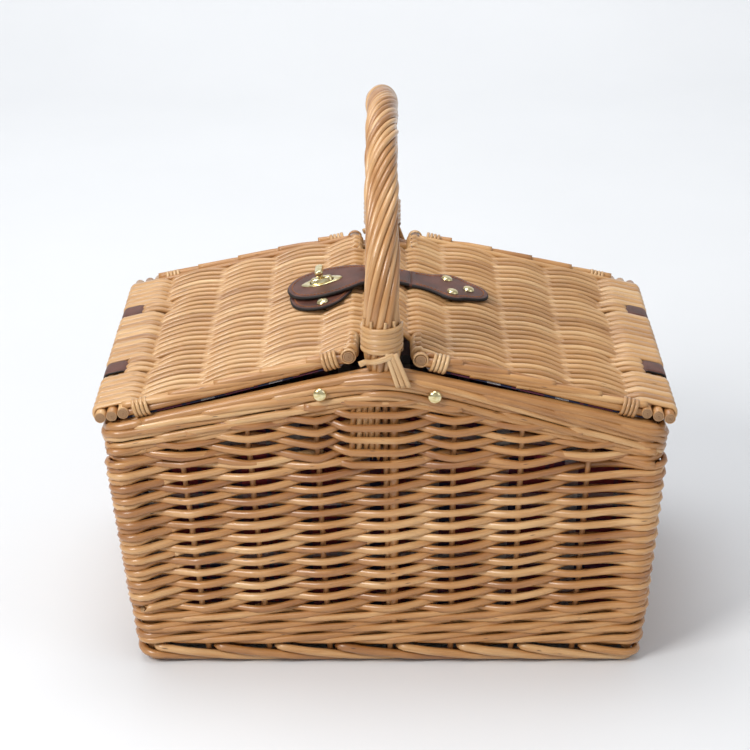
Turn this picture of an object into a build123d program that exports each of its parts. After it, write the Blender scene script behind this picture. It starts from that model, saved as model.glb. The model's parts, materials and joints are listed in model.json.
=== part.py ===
"""Twin-lid willow picnic basket: woven body, fixed arched handle, two lids hinged at their outer
edges on leather loops, and a leather closure strap with a brass turn lock.

Millimetres. +X runs to the right lid, +Y to the back, +Z up. The origin is the middle of the
footprint, on the surface that the basket stands on.
"""

import os
from math import atan, cos, hypot, sin

from build123d import *

os.makedirs("parts", exist_ok=True)

# Body
BASE_HALF_WIDTH = 208.0  # outer face of the side walls at the floor
BASE_HALF_DEPTH = 140.0  # outer face of the gable walls at the floor
RIM_HALF_WIDTH = 225.0  # outer face of the side walls at the rim
RIM_HALF_DEPTH = 152.0  # outer face of the gable walls at the rim's corners
RIM_HEIGHT = 222.0  # top of the rim at its corners
GABLE_RISE = 57.0  # ridge of the rim above its corners
WALL = 13.0  # thickness of the woven walls
FOOT_HEIGHT = 18.0
WALE_TOP = 50.0  # top of the close-packed rows above the foot
RIM_DROP = 28.0  # height of the rim border
BASE_PANEL_BOTTOM = 8.0
BASE_PANEL_THICKNESS = 10.0

# Stakes that the walls are woven on
STAKE_RADIUS = 2.3
CORNER_POST_RADIUS = 4.6
GABLE_STAKES = 7
SIDE_STAKES = 5
TUNNEL_FIT = 0.05  # radial room between a rod and the weave around it
STAKE_END_GAP = 0.7  # between the leaning ends of the rods and the foot border

# Handle
HANDLE_RADIUS = 14.5
HANDLE_RISE = 175.0  # top of the handle above the peak of the rim
HANDLE_SETBACK = 6.0  # centre of each leg, inside the gable rim's outer face
HANDLE_SHOULDER_RADIUS = 100.0  # bends between the upright legs and the flatter crown
HANDLE_SHOULDER_ABOVE_BINDING = 1.0
BINDING_LOW = 8.0  # above the peak of the rim
BINDING_HEIGHT = 24.0
BINDING_THICKNESS = 1.6
CORE_ROD_RADIUS = 4.0
CORE_ROD_X = 7.2
CORE_ROD_END = 26.0  # height at which the core rods end
LINER_RADIUS = 2.2
LINER_X = (-7.6, -13.6, -19.6, -25.6)
LINER_LENGTH = 52.0

# Lining
CLOTH = 1.2
LINING_BELOW_RIM = 6.0  # on the gables, where the studs hold it

# Studs in the gable rims
STUD_X = 47.0
STUD_BELOW_RIM = 12.5
STUD_HEAD_RADIUS = 5.5
STUD_HEAD_HEIGHT = 3.2
SHANK_RADIUS = 1.5
WASHER_RADIUS = 4.5

# Lids
LID_OVERHANG = 6.0  # hinge line, outside the side walls' rim
LID_SETBACK = 6.0  # ends of the lids, inside the gable rims' outer faces
LID_THICKNESS = 12.0
LID_GAP = 0.4  # between the rim and the underside of a lid
RIDGE_HALF_GAP = 1.5
NOTCH_HALF_WIDTH = 20.0  # room for a handle leg, from the middle plane
NOTCH_DEPTH = 45.0  # from the front or back edge of the lid
LID_BORDER_WIDTH = 8.0
LID_BORDER_LOW = 1.6
LID_BORDER_HIGH = 10.4
STICK_RADIUS = 4.4
OUTER_STICKS = (5.0, 14.0, 25.0)  # up the lid from its outer edge
OUTER_STICK_LIFT = 6.5
FIRST_INNER_STICK = 74.0  # from the middle plane
INNER_STICK_PITCH = 47.0
INNER_STICK_ROOM = 30.0  # least room between the inner and the outer sticks
NOTCH_STICK_SETBACK = 6.0
TONGUE_STICK_SETBACK = 5.5
LID_BINDING_LENGTH = 10.0
LID_BORDER_END_GAP = 0.5  # between a border's ends and the sticks beside them
LID_BINDING_THICKNESS = 1.2
LID_SIDE_ROOM = 0.5  # between the gable rims and the lids' weave
LID_BINDING_ROOM = 0.05  # between the rims and the lids' bindings

# Leather hinge loops
LOOP_Y = 62.0
LOOP_WIDTH = 21.0
LEATHER = 1.8
LOOP_ROOM = 0.8  # each side of a loop
RIM_LOOP_DROP = 0.6  # top of the rim's loop below the rim
RIM_LOOP_DEPTH = 12.0  # rim held inside the loop

# Closure strap and turn lock
STRAP_Y = 12.0
STRAP_HALF_WIDTH = 15.0
STRAP_THICKNESS = 2.8
STRAP_FOLD_X = 22.0  # where the free part bends up from the fixed part
STRAP_GAP = 0.4
PADDLE_X = -54.0
PADDLE_RADIUS = 30.0
PADDLE_LIFT = 4.6  # underside of the paddle above the lid
PADDLE_RAMP = (-10.0, -21.0)
ROOT_RIVETS = ((53.0, 15.0), (57.0, -13.0), (71.0, 1.0))  # X, and Y from the strap's middle
ROOT_LOBE_RADII = (11.0, 11.0, 15.0)
RIVET_HEAD_RADIUS = 5.0
RIVET_HEAD_HEIGHT = 2.4
LOCK_X = 49.7  # from the middle plane
TAB_THICKNESS = 3.0
TAB_RADIUS = 26.0
TAB_NOSE_RADIUS = 12.0
TAB_NOSE_REACH = 45.0
TAB_RIVET_REACH = 40.0
LOCK_PLATE = (30.0, 14.0, 1.2)
LOCK_BLOCK = (18.0, 7.0, 7.8)
LOCK_FIT = 0.1
POST_RADIUS = 2.0
POST_IN_BLOCK = 5.0
POST_ABOVE_BLOCK = 3.0
KNOB_BAR = (17.0, 7.0, 5.0)  # length, width and height
EYELET = (36.0, 18.0, 1.2)
EYELET_SLOT = (20.4, 9.4)

# Derived
HANDLE_HALF_SPAN = RIM_HALF_DEPTH - HANDLE_SETBACK
LID_HALF_WIDTH = RIM_HALF_WIDTH + LID_OVERHANG
LID_HALF_DEPTH = RIM_HALF_DEPTH - LID_SETBACK
LEAN_X = (RIM_HALF_WIDTH - BASE_HALF_WIDTH) / RIM_HEIGHT
LEAN_Y = (RIM_HALF_DEPTH - BASE_HALF_DEPTH) / RIM_HEIGHT
SLOPE = GABLE_RISE / RIM_HALF_WIDTH
LID_ANGLE = atan(SLOPE)
PEAK = RIM_HEIGHT + GABLE_RISE
LID_SEAT = RIM_HEIGHT + LID_GAP - (LID_HALF_WIDTH - RIM_HALF_WIDTH) * SLOPE
LID_TOP_RISE = LID_THICKNESS / cos(LID_ANGLE)  # the lid's thickness, measured upright
FLOOR_TOP = BASE_PANEL_BOTTOM + BASE_PANEL_THICKNESS
HANDLE_TOP = PEAK + HANDLE_RISE
WEAVE_HALF_DEPTH = LID_HALF_DEPTH - LID_BORDER_WIDTH
LOCK_U = (LID_HALF_WIDTH - LOCK_X) / cos(LID_ANGLE)  # up the left lid from its outer edge


def save(piece, name):
    """Labels a finished piece and writes its STEP file."""
    piece.label = name
    export_step(piece, f"parts/{name}.step")
    return piece


def gable_plane(side):
    """Outer face of the front (-1) or back (+1) wall: local Y runs up the wall."""
    return Plane(origin=(0, side * BASE_HALF_DEPTH, 0), x_dir=(-side, 0, 0), z_dir=(0, side, -LEAN_Y))


def side_plane(side):
    """Outer face of the left (-1) or right (+1) wall: local Y runs up the wall."""
    return Plane(origin=(side * BASE_HALF_WIDTH, 0, 0), x_dir=(0, side, 0), z_dir=(side, 0, -LEAN_X))


def up_gable(height):
    """Distance up a gable wall's face at this height."""
    return height * hypot(1, LEAN_Y)


def up_side(height):
    """Distance up a side wall's face at this height."""
    return height * hypot(1, LEAN_X)


def corner_height(drop):
    """Height at which a line this far below the rim's slope meets the basket's corner."""
    at_floor = RIM_HEIGHT + (RIM_HALF_WIDTH - BASE_HALF_WIDTH) * SLOPE - drop
    return at_floor / (1 + LEAN_X * SLOPE)


def half_width(height):
    return BASE_HALF_WIDTH + LEAN_X * height


def half_depth(height):
    return BASE_HALF_DEPTH + LEAN_Y * height


def panel(plane, points, outer, inner):
    """Flat panel with this outline, between two depths below the plane."""
    with BuildPart() as made:
        with BuildSketch(plane.offset(-inner)):
            with BuildLine():
                Polyline(*points, close=True)
            make_face()
        extrude(amount=inner - outer)
    return made.part


def gable_outline(low, drop):
    """Outline of a gable wall from a level line up to a line below the rim's slopes."""
    corner = corner_height(drop)
    return [
        (-half_width(low), up_gable(low)),
        (half_width(low), up_gable(low)),
        (half_width(corner), up_gable(corner)),
        (0, up_gable(PEAK - drop)),
        (-half_width(corner), up_gable(corner)),
    ]


def gable_band(low, high):
    """Outline of a gable wall between two level lines."""
    return [
        (-half_width(low), up_gable(low)),
        (half_width(low), up_gable(low)),
        (half_width(high), up_gable(high)),
        (-half_width(high), up_gable(high)),
    ]


def rim_half(hand):
    """Outline of the half of a gable rim on one side (-1 or +1) of the peak."""
    low = corner_height(RIM_DROP)
    return [
        (0, up_gable(PEAK)),
        (0, up_gable(PEAK - RIM_DROP)),
        (hand * half_width(low), up_gable(low)),
        (hand * RIM_HALF_WIDTH, up_gable(RIM_HEIGHT)),
    ]


def side_band(low, high):
    """Outline of a side wall between two level lines, out to the basket's corners."""
    return [
        (-half_depth(low), up_side(low)),
        (half_depth(low), up_side(low)),
        (half_depth(high), up_side(high)),
        (-half_depth(high), up_side(high)),
    ]


def rods(ends, radius):
    """Straight round rods between pairs of points."""
    with BuildPart() as made:
        for start, end in ends:
            run = Vector(*end) - Vector(*start)
            with BuildSketch(Plane(origin=start, z_dir=run)):
                Circle(radius)
            extrude(amount=run.length)
    return made.part


def on_plane(plane, across, up, depth):
    """Point at this depth below a wall's outer face."""
    return tuple(plane.from_local_coords(Vector(across, up, -depth)))


def lid_plane(side):
    """Underside of a lid: local X runs up the slope from the hinge line to the ridge."""
    return Plane(
        origin=(side * LID_HALF_WIDTH, 0, LID_SEAT),
        x_dir=(-side * cos(LID_ANGLE), 0, sin(LID_ANGLE)),
        z_dir=(side * sin(LID_ANGLE), 0, cos(LID_ANGLE)),
    )


def up_lid(x):
    """Distance up a lid from its hinge line to this distance from the middle plane."""
    return (LID_HALF_WIDTH - x) / cos(LID_ANGLE)


def lid_rooms():
    """The space that the shut lids take up, with room round it, for trimming what is under them."""
    binding_low = LID_BORDER_LOW - LID_BINDING_THICKNESS - LID_BINDING_ROOM
    rooms = []
    for side in (-1, 1):
        for half_depth_here, low in (
            (WEAVE_HALF_DEPTH + LID_SIDE_ROOM, -LID_GAP / 2),
            (LID_HALF_DEPTH, binding_low),
        ):
            with BuildPart() as room:
                with BuildSketch(lid_plane(side).offset(low)):
                    with Locations((up_lid(0) / 2, 0)):
                        Rectangle(up_lid(0), 2 * half_depth_here)
                extrude(amount=LID_THICKNESS)
            rooms.append(room.part)
    return rooms


def cut(piece, *tools):
    """The piece with other solids taken out of it."""
    with BuildPart() as made:
        add(piece)
        for tool in tools:
            add(tool, mode=Mode.SUBTRACT)
    return made.part


# --------------------------------------------------------------------------------------------
# Handle: one bow that stands between the rim's slopes on each gable
# --------------------------------------------------------------------------------------------
handle_foot = PEAK - RIM_DROP  # the legs stand on the weave, between the rim's two slopes
leg_top = PEAK + BINDING_LOW + BINDING_HEIGHT + HANDLE_SHOULDER_ABOVE_BINDING
crown_rise = HANDLE_TOP - HANDLE_RADIUS - leg_top
shoulder_y = HANDLE_HALF_SPAN - HANDLE_SHOULDER_RADIUS
# The crown's arc meets both shoulders' arcs tangentially.
crown_radius = (shoulder_y**2 + crown_rise**2 - HANDLE_SHOULDER_RADIUS**2) / (
    2 * (crown_rise - HANDLE_SHOULDER_RADIUS)
)
centres_apart = crown_radius - HANDLE_SHOULDER_RADIUS
meet_y = shoulder_y * crown_radius / centres_apart
meet_z = leg_top + HANDLE_SHOULDER_RADIUS * (crown_radius - crown_rise) / centres_apart

with BuildPart() as handle_bow:
    with BuildLine(Plane.YZ) as bow_line:
        front_leg = Line((-HANDLE_HALF_SPAN, handle_foot), (-HANDLE_HALF_SPAN, leg_top))
        front_shoulder = TangentArc(front_leg @ 1, (-meet_y, meet_z), tangent=front_leg % 1)
        crown = TangentArc(front_shoulder @ 1, (meet_y, meet_z), tangent=front_shoulder % 1)
        TangentArc(crown @ 1, (HANDLE_HALF_SPAN, leg_top), tangent=crown % 1)
        Line((HANDLE_HALF_SPAN, leg_top), (HANDLE_HALF_SPAN, handle_foot))
    with BuildSketch(Plane(origin=(0, -HANDLE_HALF_SPAN, handle_foot), z_dir=(0, 0, 1))):
        Circle(HANDLE_RADIUS)
    sweep(path=bow_line.line)
save(handle_bow.part, "handle_bow")

leg_sockets = rods(
    [
        (
            (0, side * HANDLE_HALF_SPAN, handle_foot),
            (0, side * HANDLE_HALF_SPAN, PEAK + BINDING_LOW),
        )
        for side in (-1, 1)
    ],
    HANDLE_RADIUS + TUNNEL_FIT,
)

for side, name in ((-1, "front"), (1, "back")):
    with BuildPart() as binding:
        with BuildSketch(Plane.XY.offset(PEAK + BINDING_LOW)):
            with Locations((0, side * HANDLE_HALF_SPAN)):
                Circle(HANDLE_RADIUS + TUNNEL_FIT + BINDING_THICKNESS)
                Circle(HANDLE_RADIUS + TUNNEL_FIT, mode=Mode.SUBTRACT)
        extrude(amount=BINDING_HEIGHT)
    save(binding.part, f"{name}_handle_binding")

# --------------------------------------------------------------------------------------------
# Gable walls: foot, wale, weave on stakes, rim in two slopes, studs and lining
# --------------------------------------------------------------------------------------------
stake_low = FOOT_HEIGHT + STAKE_END_GAP
inside = WALL + CLOTH
side_envelopes = [panel(side_plane(side), side_band(-FOOT_HEIGHT, PEAK), 0, WALL) for side in (-1, 1)]
foot_parts = []
wale_parts = []
lining_parts = []
gable_envelopes = []
gable_lining_envelopes = []
lid_spaces = lid_rooms()

for side, name in ((-1, "front"), (1, "back")):
    plane = gable_plane(side)
    middle = WALL / 2
    weave_bottom = up_gable(stake_low)

    # Stakes fan out with the wall, evenly spaced between the corner posts.
    stakes = []
    for index in range(GABLE_STAKES):
        share = (index - (GABLE_STAKES - 1) / 2) / ((GABLE_STAKES + 1) / 2)
        top = PEAK - RIM_DROP - abs(share) * RIM_HALF_WIDTH * SLOPE
        start = on_plane(plane, share * half_width(stake_low), weave_bottom, middle)
        end = on_plane(plane, share * half_width(top), up_gable(top) - STAKE_RADIUS, middle)
        stakes.append((start, end))
    save(rods(stakes, STAKE_RADIUS), f"{name}_stakes")
    stake_tunnels = rods(stakes, STAKE_RADIUS + TUNNEL_FIT)

    # Corner posts lean both ways, just inside the corner.
    inset = WALL / 2
    post_top = corner_height(RIM_DROP) - CORNER_POST_RADIUS
    posts = []
    for hand in (-1, 1):
        start = on_plane(plane, hand * (half_width(stake_low) - inset), weave_bottom, middle)
        end = on_plane(plane, hand * (half_width(post_top) - inset), up_gable(post_top), middle)
        posts.append((start, end))
    save(rods(posts, CORNER_POST_RADIUS), f"{name}_corner_posts")
    post_tunnels = rods(posts, CORNER_POST_RADIUS + TUNNEL_FIT)

    # The bow's core rod and its thinner liners are pushed down beside the middle stake.
    liner_top = up_gable(PEAK - RIM_DROP) - LINER_RADIUS
    core_x = -side * CORE_ROD_X
    core_start = on_plane(plane, core_x, up_gable(CORE_ROD_END), middle)
    core_end = on_plane(plane, core_x, up_gable(PEAK - RIM_DROP) - CORE_ROD_RADIUS, middle)
    liner_ends = []
    for liner_x in LINER_X:
        across = -side * liner_x
        reach = liner_top - abs(liner_x) * SLOPE
        low_end = on_plane(plane, across, reach - LINER_LENGTH, middle)
        liner_ends.append((low_end, on_plane(plane, across, reach, middle)))
    save(rods([(core_start, core_end)], CORE_ROD_RADIUS), f"{name}_handle_core")
    save(rods(liner_ends, LINER_RADIUS), f"{name}_handle_liners")
    core_tunnel = rods([(core_start, core_end)], CORE_ROD_RADIUS + TUNNEL_FIT)
    liner_tunnels = rods(liner_ends, LINER_RADIUS + TUNNEL_FIT)

    weave = panel(plane, gable_outline(WALE_TOP, RIM_DROP), 0, WALL)
    save(
        cut(weave, stake_tunnels, post_tunnels, core_tunnel, liner_tunnels, leg_sockets),
        f"{name}_weave",
    )
    wale = panel(plane, gable_band(FOOT_HEIGHT, WALE_TOP), 0, WALL)
    wale_parts.append(cut(wale, stake_tunnels, post_tunnels, core_tunnel))
    foot_parts.append(panel(plane, gable_band(-FOOT_HEIGHT, FOOT_HEIGHT), 0, WALL))

    # Domed studs through the rim hold the lining, with a washer inside.
    stud_height = PEAK - STUD_X * SLOPE - STUD_BELOW_RIM
    with BuildPart() as studs:
        for hand in (-1, 1):
            seat = plane.from_local_coords(Vector(hand * STUD_X, up_gable(stud_height), 0))
            axis_plane = Plane(origin=seat, z_dir=plane.z_dir)
            with BuildSketch(axis_plane):
                Circle(STUD_HEAD_RADIUS)
            extrude(amount=STUD_HEAD_HEIGHT, taper=35)
            with BuildSketch(axis_plane.offset(-inside)):
                Circle(SHANK_RADIUS)
            extrude(amount=inside)
            with BuildSketch(axis_plane.offset(-inside - CLOTH)):
                Circle(WASHER_RADIUS)
            extrude(amount=CLOTH)
    save(studs.part, f"{name}_rim_studs")

    for hand in (-1, 1):
        where = "left" if side * hand > 0 else "right"
        rim = panel(plane, rim_half(hand), 0, WALL)
        save(cut(rim, leg_sockets, studs.part, *lid_spaces), f"{name}_rim_{where}")

    lining = panel(plane, gable_outline(FLOOR_TOP + CLOTH, LINING_BELOW_RIM), WALL, inside)
    lining_parts.append(cut(lining, studs.part, handle_bow.part, *side_envelopes))
    gable_envelopes.append(panel(plane, gable_outline(-2 * FOOT_HEIGHT, -LID_THICKNESS), 0, WALL))
    gable_lining_envelopes.append(
        panel(plane, gable_outline(-2 * FOOT_HEIGHT, -LID_THICKNESS), 0, inside)
    )

# --------------------------------------------------------------------------------------------
# Side walls, fitted between the gable walls
# --------------------------------------------------------------------------------------------
for side, name in ((-1, "left"), (1, "right")):
    plane = side_plane(side)
    middle = WALL / 2
    side_rim_low = RIM_HEIGHT - RIM_DROP

    stakes = []
    for index in range(SIDE_STAKES):
        share = (index - (SIDE_STAKES - 1) / 2) / ((SIDE_STAKES + 1) / 2)
        top = side_rim_low - STAKE_RADIUS
        start = on_plane(plane, share * half_depth(stake_low), up_side(stake_low), middle)
        end = on_plane(plane, share * half_depth(top), up_side(top), middle)
        stakes.append((start, end))
    save(rods(stakes, STAKE_RADIUS), f"{name}_stakes")
    stake_tunnels = rods(stakes, STAKE_RADIUS + TUNNEL_FIT)

    weave = panel(plane, side_band(WALE_TOP, side_rim_low), 0, WALL)
    save(cut(weave, stake_tunnels, *gable_envelopes), f"{name}_weave")
    wale = panel(plane, side_band(FOOT_HEIGHT, WALE_TOP), 0, WALL)
    wale_parts.append(cut(wale, stake_tunnels, *gable_envelopes))
    foot = panel(plane, side_band(-FOOT_HEIGHT, FOOT_HEIGHT), 0, WALL)
    foot_parts.append(cut(foot, *gable_envelopes))

    # Each leather hinge loop takes in the top of the rim, in a pocket of its own.
    loop_top = up_side(RIM_HEIGHT) - RIM_LOOP_DROP
    loop_height = RIM_LOOP_DEPTH + 2 * LEATHER
    with BuildPart() as rim_loops:
        for y in (-LOOP_Y, LOOP_Y):
            centre = plane.from_local_coords(Vector(y, loop_top - loop_height / 2, -middle))
            loop_plane = Plane(origin=centre, x_dir=plane.z_dir, z_dir=plane.x_dir)
            with BuildSketch(loop_plane):
                Rectangle(WALL + 2 * LEATHER, loop_height)
                Rectangle(WALL, loop_height - 2 * LEATHER, mode=Mode.SUBTRACT)
            extrude(amount=LOOP_WIDTH / 2, both=True)
    save(cut(rim_loops.part, *lid_spaces), f"{name}_hinge_rim_loops")
    with BuildPart() as pockets:
        for y in (-LOOP_Y, LOOP_Y):
            mouth = plane.from_local_coords(Vector(y, loop_top, -middle))
            mouth_plane = Plane(origin=mouth, x_dir=plane.z_dir, z_dir=plane.x_dir)
            with BuildSketch(mouth_plane):
                Rectangle(2 * WALL, 2 * LEATHER)
            extrude(amount=LOOP_WIDTH / 2, both=True)

    rim = panel(plane, side_band(side_rim_low, RIM_HEIGHT), 0, WALL)
    rim_cutters = (rim_loops.part, pockets.part, *gable_envelopes, *lid_spaces)
    save(cut(rim, *rim_cutters), f"{name}_rim")

    lining = panel(plane, side_band(FLOOR_TOP + CLOTH, side_rim_low), WALL, WALL + CLOTH)
    lining_parts.append(cut(lining, *gable_lining_envelopes))

# --------------------------------------------------------------------------------------------
# Foot border, wale, base panel and lining
# --------------------------------------------------------------------------------------------
with BuildPart() as foot_border:
    for piece in foot_parts:
        add(piece)
    split(bisect_by=Plane.XY, keep=Keep.TOP)
save(foot_border.part, "foot_border")

with BuildPart() as lower_wale:
    for piece in wale_parts:
        add(piece)
save(lower_wale.part, "lower_wale")

inner_half_width = half_width(BASE_PANEL_BOTTOM) - WALL * hypot(1, LEAN_X)
inner_half_depth = half_depth(BASE_PANEL_BOTTOM) - WALL * hypot(1, LEAN_Y)
with BuildPart() as base_panel:
    with BuildSketch(Plane.XY.offset(BASE_PANEL_BOTTOM)):
        Rectangle(2 * inner_half_width, 2 * inner_half_depth)
    extrude(amount=BASE_PANEL_THICKNESS)
save(base_panel.part, "base_panel")

with BuildPart() as basket_lining:
    for piece in lining_parts:
        add(piece)
    with BuildSketch(Plane.XY.offset(FLOOR_TOP)):
        Rectangle(2 * inner_half_width, 2 * inner_half_depth)
    extrude(amount=CLOTH)
save(basket_lining.part, "basket_lining")


# --------------------------------------------------------------------------------------------
# Lids
# --------------------------------------------------------------------------------------------
def cross_rods(plane, places, lift, half_length, radius):
    """Rods that run front to back in a lid."""
    ends = []
    for place in places:
        start = plane.from_local_coords(Vector(place, -half_length, lift))
        end = plane.from_local_coords(Vector(place, half_length, lift))
        ends.append((tuple(start), tuple(end)))
    return rods(ends, radius)


def rivets(plane, places, sink):
    """Domed rivets that stand on a plane, with shanks that sink below it."""
    with BuildPart() as made:
        with BuildSketch(plane):
            with Locations(*places):
                Circle(RIVET_HEAD_RADIUS)
        extrude(amount=RIVET_HEAD_HEIGHT, taper=35)
        with BuildSketch(plane.offset(-sink)):
            with Locations(*places):
                Circle(SHANK_RADIUS)
        extrude(amount=sink)
    return made.part


ridge_u = up_lid(RIDGE_HALF_GAP)
notch_u = up_lid(NOTCH_HALF_WIDTH)
tongue_half_depth = LID_HALF_DEPTH - NOTCH_DEPTH
stick_middle = LID_THICKNESS / 2
outer_span = OUTER_STICKS[1] - OUTER_STICKS[0]
border_low_u = OUTER_STICKS[-1] + STICK_RADIUS + LID_BORDER_END_GAP
notch_stick_u = notch_u - NOTCH_STICK_SETBACK
border_high_u = notch_stick_u - STICK_RADIUS - LID_BORDER_END_GAP
border_height = LID_BORDER_HIGH - LID_BORDER_LOW
border_middle_y = LID_HALF_DEPTH - LID_BORDER_WIDTH / 2
lid_weaves = {}

# Inner sticks follow at an even pitch from the ridge to the outer sticks, where there is room.
inner_places = [up_lid(FIRST_INNER_STICK)]
inner_pitch = INNER_STICK_PITCH / cos(LID_ANGLE)
while inner_places[-1] - inner_pitch > OUTER_STICKS[-1] + INNER_STICK_ROOM:
    inner_places.append(inner_places[-1] - inner_pitch)

for side, name in ((-1, "left"), (1, "right")):
    plane = lid_plane(side)

    outer_sticks = cross_rods(plane, OUTER_STICKS, OUTER_STICK_LIFT, LID_HALF_DEPTH, STICK_RADIUS)
    save(outer_sticks, f"{name}_lid_outer_sticks")
    tongue_place = [ridge_u - TONGUE_STICK_SETBACK]
    with BuildPart() as inner_sticks:
        add(cross_rods(plane, inner_places, stick_middle, WEAVE_HALF_DEPTH, STICK_RADIUS))
        add(cross_rods(plane, [notch_stick_u], stick_middle, LID_HALF_DEPTH, STICK_RADIUS))
        add(cross_rods(plane, tongue_place, stick_middle, tongue_half_depth, STICK_RADIUS))
    save(inner_sticks.part, f"{name}_lid_inner_sticks")

    # Borders along the front and back edges, bound with skein at both ends.
    with BuildPart() as borders:
        with BuildSketch(plane.offset(LID_BORDER_LOW)):
            for y in (-border_middle_y, border_middle_y):
                with Locations(((border_low_u + border_high_u) / 2, y)):
                    Rectangle(border_high_u - border_low_u, LID_BORDER_WIDTH)
        extrude(amount=border_height)
    save(borders.part, f"{name}_lid_borders")

    with BuildPart() as bindings:
        for place in (border_low_u, border_high_u - LID_BINDING_LENGTH):
            for y in (-border_middle_y, border_middle_y):
                centre = plane.from_local_coords(
                    Vector(place, y, (LID_BORDER_LOW + LID_BORDER_HIGH) / 2)
                )
                with BuildSketch(Plane(origin=centre, x_dir=plane.y_dir, z_dir=plane.x_dir)):
                    Rectangle(
                        LID_BORDER_WIDTH + 2 * LID_BINDING_THICKNESS,
                        border_height + 2 * LID_BINDING_THICKNESS,
                    )
                    Rectangle(LID_BORDER_WIDTH, border_height, mode=Mode.SUBTRACT)
                extrude(amount=LID_BINDING_LENGTH)
    save(bindings.part, f"{name}_lid_bindings")

    # Leather loops round the two outermost sticks, in notches of the weave.
    with BuildPart() as lid_loops:
        for y in (-LOOP_Y, LOOP_Y):
            centre = plane.from_local_coords(
                Vector((OUTER_STICKS[0] + OUTER_STICKS[1]) / 2, y, OUTER_STICK_LIFT)
            )
            with BuildSketch(Plane(origin=centre, x_dir=plane.x_dir, z_dir=plane.y_dir)):
                SlotCenterToCenter(outer_span, 2 * (STICK_RADIUS + TUNNEL_FIT + LEATHER))
                SlotCenterToCenter(
                    outer_span, 2 * (STICK_RADIUS + TUNNEL_FIT), mode=Mode.SUBTRACT
                )
            extrude(amount=LOOP_WIDTH / 2, both=True)
    save(lid_loops.part, f"{name}_hinge_lid_loops")

    with BuildPart() as weave:
        with BuildSketch(plane):
            with BuildLine():
                Polyline(
                    (0, -WEAVE_HALF_DEPTH),
                    (notch_u, -WEAVE_HALF_DEPTH),
                    (notch_u, -tongue_half_depth),
                    (ridge_u, -tongue_half_depth),
                    (ridge_u, tongue_half_depth),
                    (notch_u, tongue_half_depth),
                    (notch_u, WEAVE_HALF_DEPTH),
                    (0, WEAVE_HALF_DEPTH),
                    close=True,
                )
            make_face()
            loop_reach = OUTER_STICKS[1] + STICK_RADIUS + TUNNEL_FIT + LEATHER
            with Locations((loop_reach / 2, -LOOP_Y), (loop_reach / 2, LOOP_Y)):
                Rectangle(loop_reach, LOOP_WIDTH + 2 * LOOP_ROOM, mode=Mode.SUBTRACT)
        extrude(amount=LID_THICKNESS)
        tunnel = STICK_RADIUS + TUNNEL_FIT
        for places, lift in (
            (OUTER_STICKS, OUTER_STICK_LIFT),
            ((*inner_places, notch_stick_u, *tongue_place), stick_middle),
        ):
            add(cross_rods(plane, places, lift, LID_HALF_DEPTH, tunnel), mode=Mode.SUBTRACT)
        add(bindings.part, mode=Mode.SUBTRACT)
    lid_weaves[side] = weave.part

    # Lining under the lid, clear of the walls.
    lining_low_u = up_lid(RIM_HALF_WIDTH - WALL - CLOTH) + 2 * CLOTH
    lining_half_depth = RIM_HALF_DEPTH - WALL - 4 * CLOTH
    with BuildPart() as lid_lining:
        with BuildSketch(plane.offset(-CLOTH)):
            with Locations(((lining_low_u + border_high_u) / 2, 0)):
                Rectangle(border_high_u - lining_low_u, 2 * lining_half_depth)
        extrude(amount=CLOTH)
    save(lid_lining.part, f"{name}_lid_lining")

# --------------------------------------------------------------------------------------------
# Turn lock on the left lid
# --------------------------------------------------------------------------------------------
left_top = lid_plane(-1).offset(LID_THICKNESS)
tab_nose_y = STRAP_Y - TAB_NOSE_REACH
tab_rivet_places = [(LOCK_U, STRAP_Y - TAB_RIVET_REACH)]
tab_rivets = rivets(left_top.offset(TAB_THICKNESS), tab_rivet_places, TAB_THICKNESS + LID_THICKNESS)
save(tab_rivets, "lock_tab_rivet")

with BuildPart() as lock_tab:
    with BuildSketch(left_top):
        with Locations((LOCK_U, STRAP_Y)):
            Circle(TAB_RADIUS)
        with Locations((LOCK_U, tab_nose_y)):
            Circle(TAB_NOSE_RADIUS)
        make_hull()
    extrude(amount=TAB_THICKNESS)
    add(tab_rivets, mode=Mode.SUBTRACT)
save(lock_tab.part, "lock_tab")
save(cut(lid_weaves[-1], tab_rivets), "left_lid_weave")

lock_plate_top = TAB_THICKNESS + LOCK_PLATE[2]
lock_block_top = lock_plate_top + LOCK_BLOCK[2]
with BuildPart() as lock_base:
    with BuildSketch(left_top.offset(TAB_THICKNESS)):
        with Locations((LOCK_U, STRAP_Y)):
            SlotOverall(LOCK_PLATE[0], LOCK_PLATE[1])
    extrude(amount=LOCK_PLATE[2])
    with BuildSketch(left_top.offset(lock_plate_top)):
        with Locations((LOCK_U, STRAP_Y)):
            SlotOverall(LOCK_BLOCK[0], LOCK_BLOCK[1])
    extrude(amount=LOCK_BLOCK[2])
    with BuildSketch(left_top.offset(lock_block_top)):
        with Locations((LOCK_U, STRAP_Y)):
            Circle(POST_RADIUS + LOCK_FIT)
    extrude(amount=-POST_IN_BLOCK - LOCK_FIT, mode=Mode.SUBTRACT)
save(lock_base.part, "lock_base")

with BuildPart() as turn_knob:
    with BuildSketch(left_top.offset(lock_block_top - POST_IN_BLOCK)):
        with Locations((LOCK_U, STRAP_Y)):
            Circle(POST_RADIUS)
    extrude(amount=POST_IN_BLOCK + POST_ABOVE_BLOCK)
    with BuildSketch(left_top.offset(lock_block_top + POST_ABOVE_BLOCK)):
        with Locations((LOCK_U, STRAP_Y)):
            SlotOverall(KNOB_BAR[0], KNOB_BAR[1], rotation=90)
    extrude(amount=KNOB_BAR[2])
    top_edges = turn_knob.faces().sort_by(Axis.Z)[-1].edges()
    fillet(top_edges, radius=KNOB_BAR[2] / 3)
save(turn_knob.part, "turn_knob")


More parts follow.
